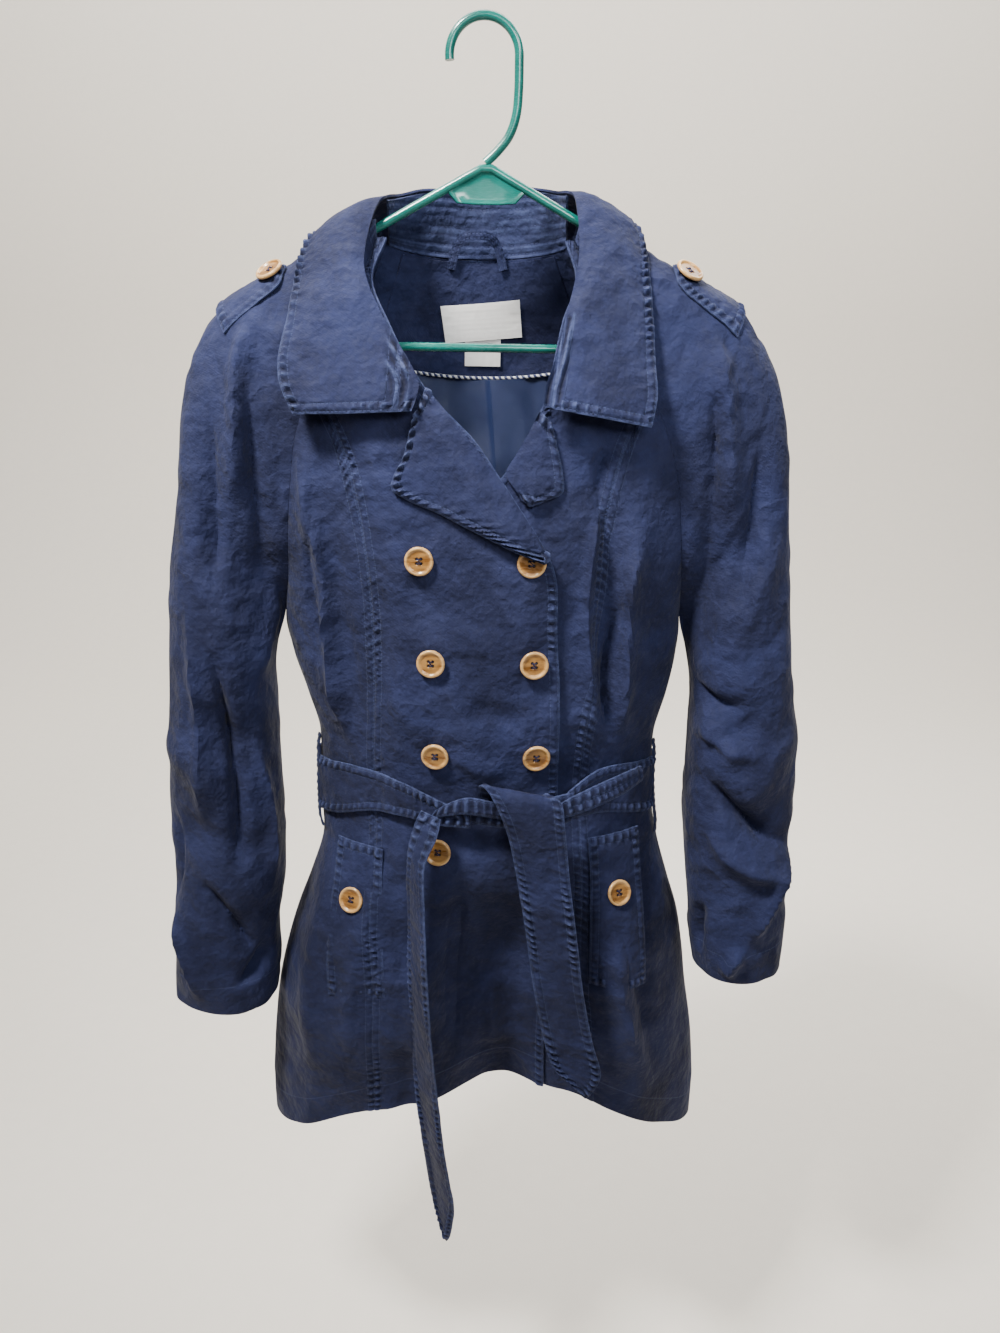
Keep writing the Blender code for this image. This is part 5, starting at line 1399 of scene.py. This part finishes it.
def add_inside():
    """What shows in the neck: facing, lining, piping, tag, label and hanging loop."""
    toward = np.array([0.0, 300.0, -200.0])
    s = np.linspace(-FACING_REACH, FACING_REACH, 90)[:, None]
    bottom = FACING_BOTTOM + FACING_CURVE * (s / FACING_REACH) ** 2
    depth = WALL + 1.2 + FACING_WALL
    t = np.linspace(0, 1, 50)[None, :]
    rows = between(bottom, ROW_Z[-1] - 3, t)
    lift = 0.5 * ripple(s * 110, rows, 0.8)
    lay_cloth("facing_cloth", body_point("back", s + 0 * rows, rows, -depth - lift), toward, (),
              ["back_neck_facing"], wall=FACING_WALL, strength=0.0)
    t = np.linspace(0, 1, 90)[None, :]
    rows = between(ARMPIT_Z, bottom - 1.2, t)
    x = s * 115
    pleat = LINING_PLEAT * smoothstep((x - 2) / 3.0) * (1 - smoothstep((x - 4) / 30.0))
    drape = LINING_DRAPE * ripple(x * 1.5, rows * 0.4, 1.7)
    lay_cloth("lining_cloth", body_point("back", s + 0 * rows, rows, -depth - 0.4 - pleat - drape),
              toward, (), ["lining_back"], wall=0.8, slot="lining_satin", strength=0.0)
    path = body_point("back", s[:, 0], bottom[:, 0], -depth - PIPING_RADIUS - SEAM)
    path = read_rows(path, np.linspace(0, len(path) - 1, 280))
    points, faces, around, along = tube(path, PIPING_RADIUS, 12)
    new_piece("piping_cord", points, faces, {"edge": around, "place": along}, "piping_cord",
              ["facing_piping"])
    across, down = np.meshgrid(np.linspace(-1, 1, 36), np.linspace(-1, 1, 24), indexing="ij")
    for name, node, tag, off in (("care_tag_cloth", "care_tag", CARE_TAG, 1.7),
                                 ("neck_label_cloth", "neck_label", LABEL, 3.2)):
        tilt = math.radians(tag["tilt"])
        a = across * tag["width"] / 2
        b = down * tag["height"] / 2
        x = tag["x"] + a * math.cos(tilt) - b * math.sin(tilt)
        z = tag["z"] + a * math.sin(tilt) + b * math.cos(tilt)
        curl = 0.8 * smoothstep((np.abs(across) - 0.5) / 0.5) * smoothstep((-down + 0.2) / 1.0)
        grid = body_point("back", s_at("back", x, z), z, -depth - off - curl)
        lay_cloth(name, grid, toward, ALL_ROUND,
                  [node], wall=0.7, slot="label_tape", strength=0.12)
    turn = np.linspace(-1, 1, 9)
    arch = np.stack([LOOP_X + LOOP_HALF * np.sign(turn) * np.abs(turn) ** 0.7, 0 * turn,
                     LOOP_FOOT_Z + LOOP_RISE * (1 - np.abs(turn) ** 3)], -1)
    arch[:, 1] = LOOP_Y + (LOOP_FOOT_Y - LOOP_Y) * np.abs(turn) ** 2
    tangent = np.gradient(arch, axis=0)
    normal = np.stack([-tangent[:, 2], 0 * turn, tangent[:, 0]], -1)
    normal /= np.linalg.norm(normal, axis=1, keepdims=True)
    t = np.linspace(-0.5, 0.5, 3)[None, :, None]
    grid = refined(arch[:, None] + t * LOOP_WIDTH * normal[:, None], 1.2)
    lay_cloth("hanging_loop_cloth", grid, toward, BOTH_SIDES,
              ["hanging_loop"], wall=1.2, strength=0.25)


# --- round bars, hanger and buttons ---------------------------------------------------------------


def tube(path, radius, sides, closed=False):
    """Points and faces of a round bar along a path, and each point's angle and place in mm."""
    path = np.asarray(path, float)
    tangent = np.roll(path, -1, 0) - np.roll(path, 1, 0) if closed else np.gradient(path, axis=0)
    tangent /= np.linalg.norm(tangent, axis=1, keepdims=True)
    other = np.cross(tangent, np.array([0.0, 1.0, 0.0]))
    other /= np.linalg.norm(other, axis=1, keepdims=True)
    side = np.cross(other, tangent)
    angle = np.arange(sides) * 2 * np.pi / sides
    ring = (np.cos(angle)[None, :, None] * other[:, None]
            + np.sin(angle)[None, :, None] * side[:, None])
    points = (path[:, None] + radius * ring).reshape(-1, 3)
    count = len(path)
    faces = []
    for i in range(count if closed else count - 1):
        for j in range(sides):
            a, b = i * sides + j, i * sides + (j + 1) % sides
            c, d = ((i + 1) % count) * sides + (j + 1) % sides, ((i + 1) % count) * sides + j
            faces.append((a, d, c, b))
    if not closed:
        faces.append(tuple(range(sides)))
        faces.append(tuple((count - 1) * sides + j for j in range(sides))[::-1])
    along = np.concatenate([[0], np.cumsum(np.linalg.norm(np.diff(path, axis=0), axis=1))])
    return points, faces, np.tile(angle, count), np.repeat(along, sides)


def joined(points, faces, more_points, more_faces):
    """Adds more faces to the faces, and returns all the points."""
    faces += [tuple(v + len(points) for v in face) for face in more_faces]
    return np.concatenate([points, more_points])


def arc(centre_x, centre_z, radius, start, end, count):
    """Points of an arc in the hanger's plane, between two angles in degrees."""
    angle = np.radians(np.linspace(start, end, count))
    return [(centre_x + radius * math.cos(a), 0, centre_z + radius * math.sin(a)) for a in angle]


def add_hanger():
    """The moulded hanger: a closed bar, the hook and the web under the top."""
    slope = math.degrees(math.atan(HANGER_SLOPE))
    end_z = HANGER_BAR_Z + HANGER_TURN
    arms = [(HANGER_HALF * f, 0, HANGER_APEX_Z - HANGER_HALF * HANGER_SLOPE * f)
            for f in np.linspace(0.02, 0.95, 40)]
    path = arms + arc(HANGER_HALF - 8, end_z, HANGER_TURN, 90 - slope, -90, 24)
    path += [(x, 0, HANGER_BAR_Z) for x in np.linspace(HANGER_HALF - 20, 20 - HANGER_HALF, 60)]
    path += arc(8 - HANGER_HALF, end_z, HANGER_TURN, -90, -270 + slope, 24)
    path += [(-x, y, z) for x, y, z in arms[::-1]]
    points, faces, _, _ = tube(path, TUBE_RADIUS, 20, closed=True)
    hook = arc(-2.5, -22.5, 26.0, 188, 0, 48)
    bend = np.array([(23.5, -22.5), (23.5, -45), (22, -62), (17, -76), (8, -87), (-1, -95)])
    at = np.linspace(0.2, 5, 40)
    knots = np.arange(6.0)
    hook += [(x, 0, z) for x, z in zip(through(knots, bend[:, 0], at),
                                       through(knots, bend[:, 1], at))]
    more, hook_faces, _, _ = tube(hook, TUBE_RADIUS, 20)
    points = joined(points, faces, more, hook_faces)
    # the web: a plate under the top, thicker along its lower rim
    outline = np.array([(-31, -115), (-23, -123.5), (-10, -124.5), (10, -124.5), (23, -123.5),
                        (31, -115), (16, -106), (0, -98), (-16, -106)], float)
    centre = outline.mean(0)
    rings = [(1.0, 0.4), (0.97, 1.7), (0.9, 1.9), (0.82, 1.2), (0.5, 1.1)]
    for sign in (-1, 1):
        base = len(points)
        for scale, thick in rings:
            flat = centre + scale * (outline - centre)
            points = np.concatenate([points, np.stack(
                [flat[:, 0], np.full(len(flat), sign * thick), flat[:, 1]], -1)])
        count = len(outline)
        for i in range(len(rings) - 1):
            for j in range(count):
                a, b = base + i * count + j, base + i * count + (j + 1) % count
                quad = (a, b, b + count, a + count)
                faces.append(quad if sign > 0 else quad[::-1])
        cap = tuple(base + (len(rings) - 1) * count + j for j in range(count))
        faces.append(cap if sign > 0 else cap[::-1])
    new_piece("hanger_moulding", points, faces, {}, "hanger_plastic", ["hanger"], 40)


HOLE_REACH = 2.5      # from a button's middle to each of its four holes
HOLE_RADIUS = 1.25
HOLE_STEP = HOLE_REACH / 1.4   # the same along each of a button's two axes
THREAD_RADIUS = 0.42
BUTTON_SIDES = 72
# How far a button stands off what carries it, beyond the gap that every button has
FRONT_BUTTON_LIFT, POCKET_BUTTON_LIFT, EPAULETTE_BUTTON_LIFT = 0.6, 4.6, 1.6
EPAULETTE_BUTTON = (3.35, -0.14)   # ring and u


def turned(centre, normal, node):
    """A button with a rounded rim, a dished face and four holes sewn with crossed thread."""
    normal = np.asarray(normal, float) / np.linalg.norm(normal)
    side = np.cross(normal, (0, 0, 1.0))
    side /= np.linalg.norm(side)
    up = np.cross(side, normal)
    sides = BUTTON_SIDES
    profile = [(0.80, 0.0), (0.93, 0.12), (1.0, 0.38), (1.0, 0.66), (0.965, 0.88), (0.90, 1.0),
               (0.83, 0.97), (0.77, 0.82), (0.72, 0.66), (0.67, 0.60)]
    profile += [(r, 0.60) for r in np.linspace(0.62, 0.04, 22)]
    angle = np.arange(sides) * 2 * np.pi / sides
    r = np.array([p[0] for p in profile])[:, None] * BUTTON_RADIUS
    h = np.array([p[1] for p in profile])[:, None] * BUTTON_HEIGHT + 0 * angle
    a, b = r * np.cos(angle), r * np.sin(angle)
    hole = np.zeros(a.shape)
    for i in (-1, 1):
        for j in (-1, 1):
            near = np.hypot(a - i * HOLE_STEP, b - j * HOLE_STEP)
            hole = np.maximum(hole, 1 - smoothstep((near - HOLE_RADIUS + 0.35) / 0.5))
    hole = np.where(r < 0.6 * BUTTON_RADIUS, hole, 0)
    h = h - 1.4 * hole
    points = centre + a[..., None] * side + b[..., None] * up + h[..., None] * normal
    rows = len(profile)
    faces = [tuple(range(sides))[::-1]]
    index = np.arange(rows * sides).reshape(rows, sides)
    after = np.roll(index, -1, axis=1)
    faces += np.stack([index[:-1], after[:-1], after[1:], index[1:]], -1).reshape(-1, 4).tolist()
    faces.append(tuple((rows - 1) * sides + j for j in range(sides)))
    rim = np.broadcast_to(r / BUTTON_RADIUS, a.shape)
    fields = {"edge": rim, "place": hole}
    new_piece(node + "_turned", points.reshape(-1, 3), faces, fields, "button_horn", [node], 60)
    add_thread(node, centre, normal, side, up)


def add_thread(node, centre, normal, side, up):
    """Three stitches between the holes: two side by side and one across."""
    points, faces = np.zeros((0, 3)), []
    reach = HOLE_STEP
    for j in (-1, 0.0, 1):
        if j:
            ends = ((-reach, j * reach), (reach, j * reach))
        else:
            ends = ((-reach, -reach), (reach, reach))
        t = np.linspace(0, 1, 9)
        a = ends[0][0] + (ends[1][0] - ends[0][0]) * t
        b = ends[0][1] + (ends[1][1] - ends[0][1]) * t
        h = 0.60 * BUTTON_HEIGHT - 0.9 + 1.5 * np.sin(np.pi * t) ** 0.5
        path = np.stack([a, h, b], -1)
        more, quads, _, _ = tube(path, THREAD_RADIUS, 8)
        points = joined(points, faces, more, quads)
    world = centre + points[:, :1] * side + points[:, 1:2] * normal + points[:, 2:] * up
    new_piece(node + "_thread", world, faces, {}, "navy_cotton", [], 60)


def seat_on(samples, centre, normal, reach):
    """Moves a centre out along its normal until a disc there clears all samples under it."""
    offset = samples - centre
    height = offset @ normal
    flat = np.linalg.norm(offset - height[:, None] * normal, axis=1)
    under = (flat < reach) & (np.abs(height) < 12)
    top = height[under].max() if under.any() else 0.0
    return centre + max(top, 0.0) * normal


def place_front_button(node, x, z, front, gap):
    """A button on the front at x, z, facing the way that the cloth there does."""
    step = 6.0
    centre = np.array([x, float(skin_y(front, x, z)), z])
    slope_x = float(skin_y(front, x + step, z) - skin_y(front, x - step, z)) / (2 * step)
    slope_z = float(skin_y(front, x, z + step) - skin_y(front, x, z - step)) / (2 * step)
    normal = np.array([slope_x, -1.0, slope_z])
    normal /= np.linalg.norm(normal)
    turned(seat_on(front, centre, normal, BUTTON_RADIUS) + gap * normal, normal, node)


def add_buttons(front):
    """The buttons of the fronts, the pockets and the epaulettes."""
    for row, x_right, x_left, z in zip(*FRONT_BUTTONS.values()):
        for x, word in ((x_right, "right"), (x_left, "left")):
            place_front_button("button_front_%d_%s" % (row, word), x, z, front,
                               BUTTON_GAP + FRONT_BUTTON_LIFT)
    for (x, z), word in zip(zip(*POCKET_BUTTONS.values()), ("right", "left")):
        place_front_button("button_pocket_" + word, x, z, front, BUTTON_GAP + POCKET_BUTTON_LIFT)
    for side, word in RIGHT_LEFT:
        (ring, u), step = EPAULETTE_BUTTON, 0.05
        centre = sleeve_point(side, ring, u, EPAULETTE_RISE)
        along = sleeve_point(side, ring + step, u, EPAULETTE_RISE) - centre
        across = sleeve_point(side, ring, u - step, EPAULETTE_RISE) - centre
        normal = np.cross(along, across) * side
        normal /= np.linalg.norm(normal)
        if normal[2] < 0:
            normal = -normal
        lift = BUTTON_GAP + EPAULETTE_BUTTON_LIFT
        turned(centre + lift * normal, normal, "button_epaulette_" + word)


# --- the pieces, the stage, the lights and the camera ---------------------------------------------


front_cloth = skin_samples()
back_cloth = back_samples()
add_fronts()
add_backs()
add_sleeves()
add_collar(front_cloth, back_cloth)
add_stand()
add_lapels(front_cloth)
add_epaulettes()
add_welts()
add_belt(front_cloth)
add_inside()
add_hanger()
add_buttons(front_cloth)


def stage_material(name, colour):
    """Matt painted plaster with a faint grain."""
    material = bpy.data.materials.new(name)
    material.use_nodes = True
    n = Nodes(material.node_tree)
    shader = material.node_tree.nodes["Principled BSDF"]
    place = n.add("ShaderNodeTexCoord").outputs["Object"]
    grain = n.noise(place, 40.0, 4.0)
    shade = tuple(0.95 * c for c in colour[:3]) + (1,)
    n.put(n.mix(grain, shade, colour), shader.inputs["Base Color"])
    shader.inputs["Roughness"].default_value = 0.9
    n.put(n.bump(grain, 0.002, 0.15), shader.inputs["Normal"])
    return material


def add_stage():
    """A floor that curves up into a wall behind the coat."""
    across = np.array([-7.0, 7.0])
    profile = [(-7.0, FLOOR_Z), (WALL_Y - CURVE, FLOOR_Z)]
    for turn in np.linspace(0, np.pi / 2, 24)[1:]:
        profile.append((WALL_Y - CURVE + CURVE * math.sin(turn),
                        FLOOR_Z + CURVE * (1 - math.cos(turn))))
    profile.append((WALL_Y, 4.0))
    points = [(x, y, z) for y, z in profile for x in across]
    faces = [(2 * i, 2 * i + 1, 2 * i + 3, 2 * i + 2) for i in range(len(profile) - 1)]
    mesh = bpy.data.meshes.new("backdrop")
    mesh.from_pydata(points, [], faces)
    mesh.shade_smooth()
    mesh.materials.append(stage_material("backdrop_paint", (0.86, 0.81, 0.73, 1)))
    backdrop = bpy.data.objects.new("backdrop", mesh)
    bpy.context.scene.collection.objects.link(backdrop)


def add_light(name, place, target, size, power, colour, spread=180.0):
    """A rectangle of light at a place, facing its target; spread is in degrees."""
    light = bpy.data.lights.new(name, "AREA")
    light.shape = "RECTANGLE"
    light.size, light.size_y = size
    light.energy = power
    light.spread = math.radians(spread)
    light.color = colour
    lamp = bpy.data.objects.new(name, light)
    direction = np.array(target, float) - np.array(place, float)
    from_z = -direction / np.linalg.norm(direction)
    side = np.cross((0, 0, 1.0), from_z)
    side /= np.linalg.norm(side)
    up = np.cross(from_z, side)
    lamp.matrix_world = Matrix([(side[0], up[0], from_z[0], place[0]),
                                (side[1], up[1], from_z[1], place[1]),
                                (side[2], up[2], from_z[2], place[2]), (0, 0, 0, 1)])
    bpy.context.scene.collection.objects.link(lamp)


def add_world():
    """A faint even light from all around."""
    world = bpy.data.worlds.new("room")
    world.use_nodes = True
    background = world.node_tree.nodes["Background"]
    background.inputs["Color"].default_value = (0.93, 0.95, 1.0, 1)
    background.inputs["Strength"].default_value = 0.10
    bpy.context.scene.world = world


def add_camera():
    """A camera at chest height that looks down at the coat from the front."""
    lens = bpy.data.cameras.new("camera")
    lens.lens = 27.1
    lens.sensor_width = 36.0
    camera = bpy.data.objects.new("camera", lens)
    camera.matrix_world = (Matrix.Translation((0.017, -0.850, -0.224))
                           @ Matrix.Rotation(math.radians(72.0), 4, "X")
                           @ Matrix.Rotation(math.radians(1.0), 4, "Z"))
    bpy.context.scene.collection.objects.link(camera)
    bpy.context.scene.camera = camera


FLOOR_Z = -1.35       # of the backdrop, in metres like the two values below
WALL_Y = 3.4
CURVE = 1.2           # radius of the turn from the floor into the wall
add_stage()
WARM, NEUTRAL, COOL = (1.0, 0.975, 0.94), (0.96, 0.98, 1.0), (0.92, 0.96, 1.0)
add_light("key", (-0.66, -0.70, 0.95), (0.0, 0.0, -0.30), (0.30, 0.24), 11.0, WARM, 70.0)
add_light("neck_fill", (0.25, -1.35, 0.30), (0.0, 0.0, -0.24), (0.5, 0.4), 0.9, NEUTRAL, 44.0)
add_light("fill", (0.95, -1.2, 0.65), (0.17, 0.0, -0.26), (0.5, 0.5), 1.4, COOL, 56.0)
add_light("back_fill", (0.9, 1.5, 0.9), (0.0, 0.0, -0.5), (1.0, 0.8), 16.0, NEUTRAL)
add_light("wall_wash", (0.0, 0.9, 2.2), (0.0, 3.0, -0.7), (5.0, 0.8), 265.0, WARM)
add_world()
add_camera()
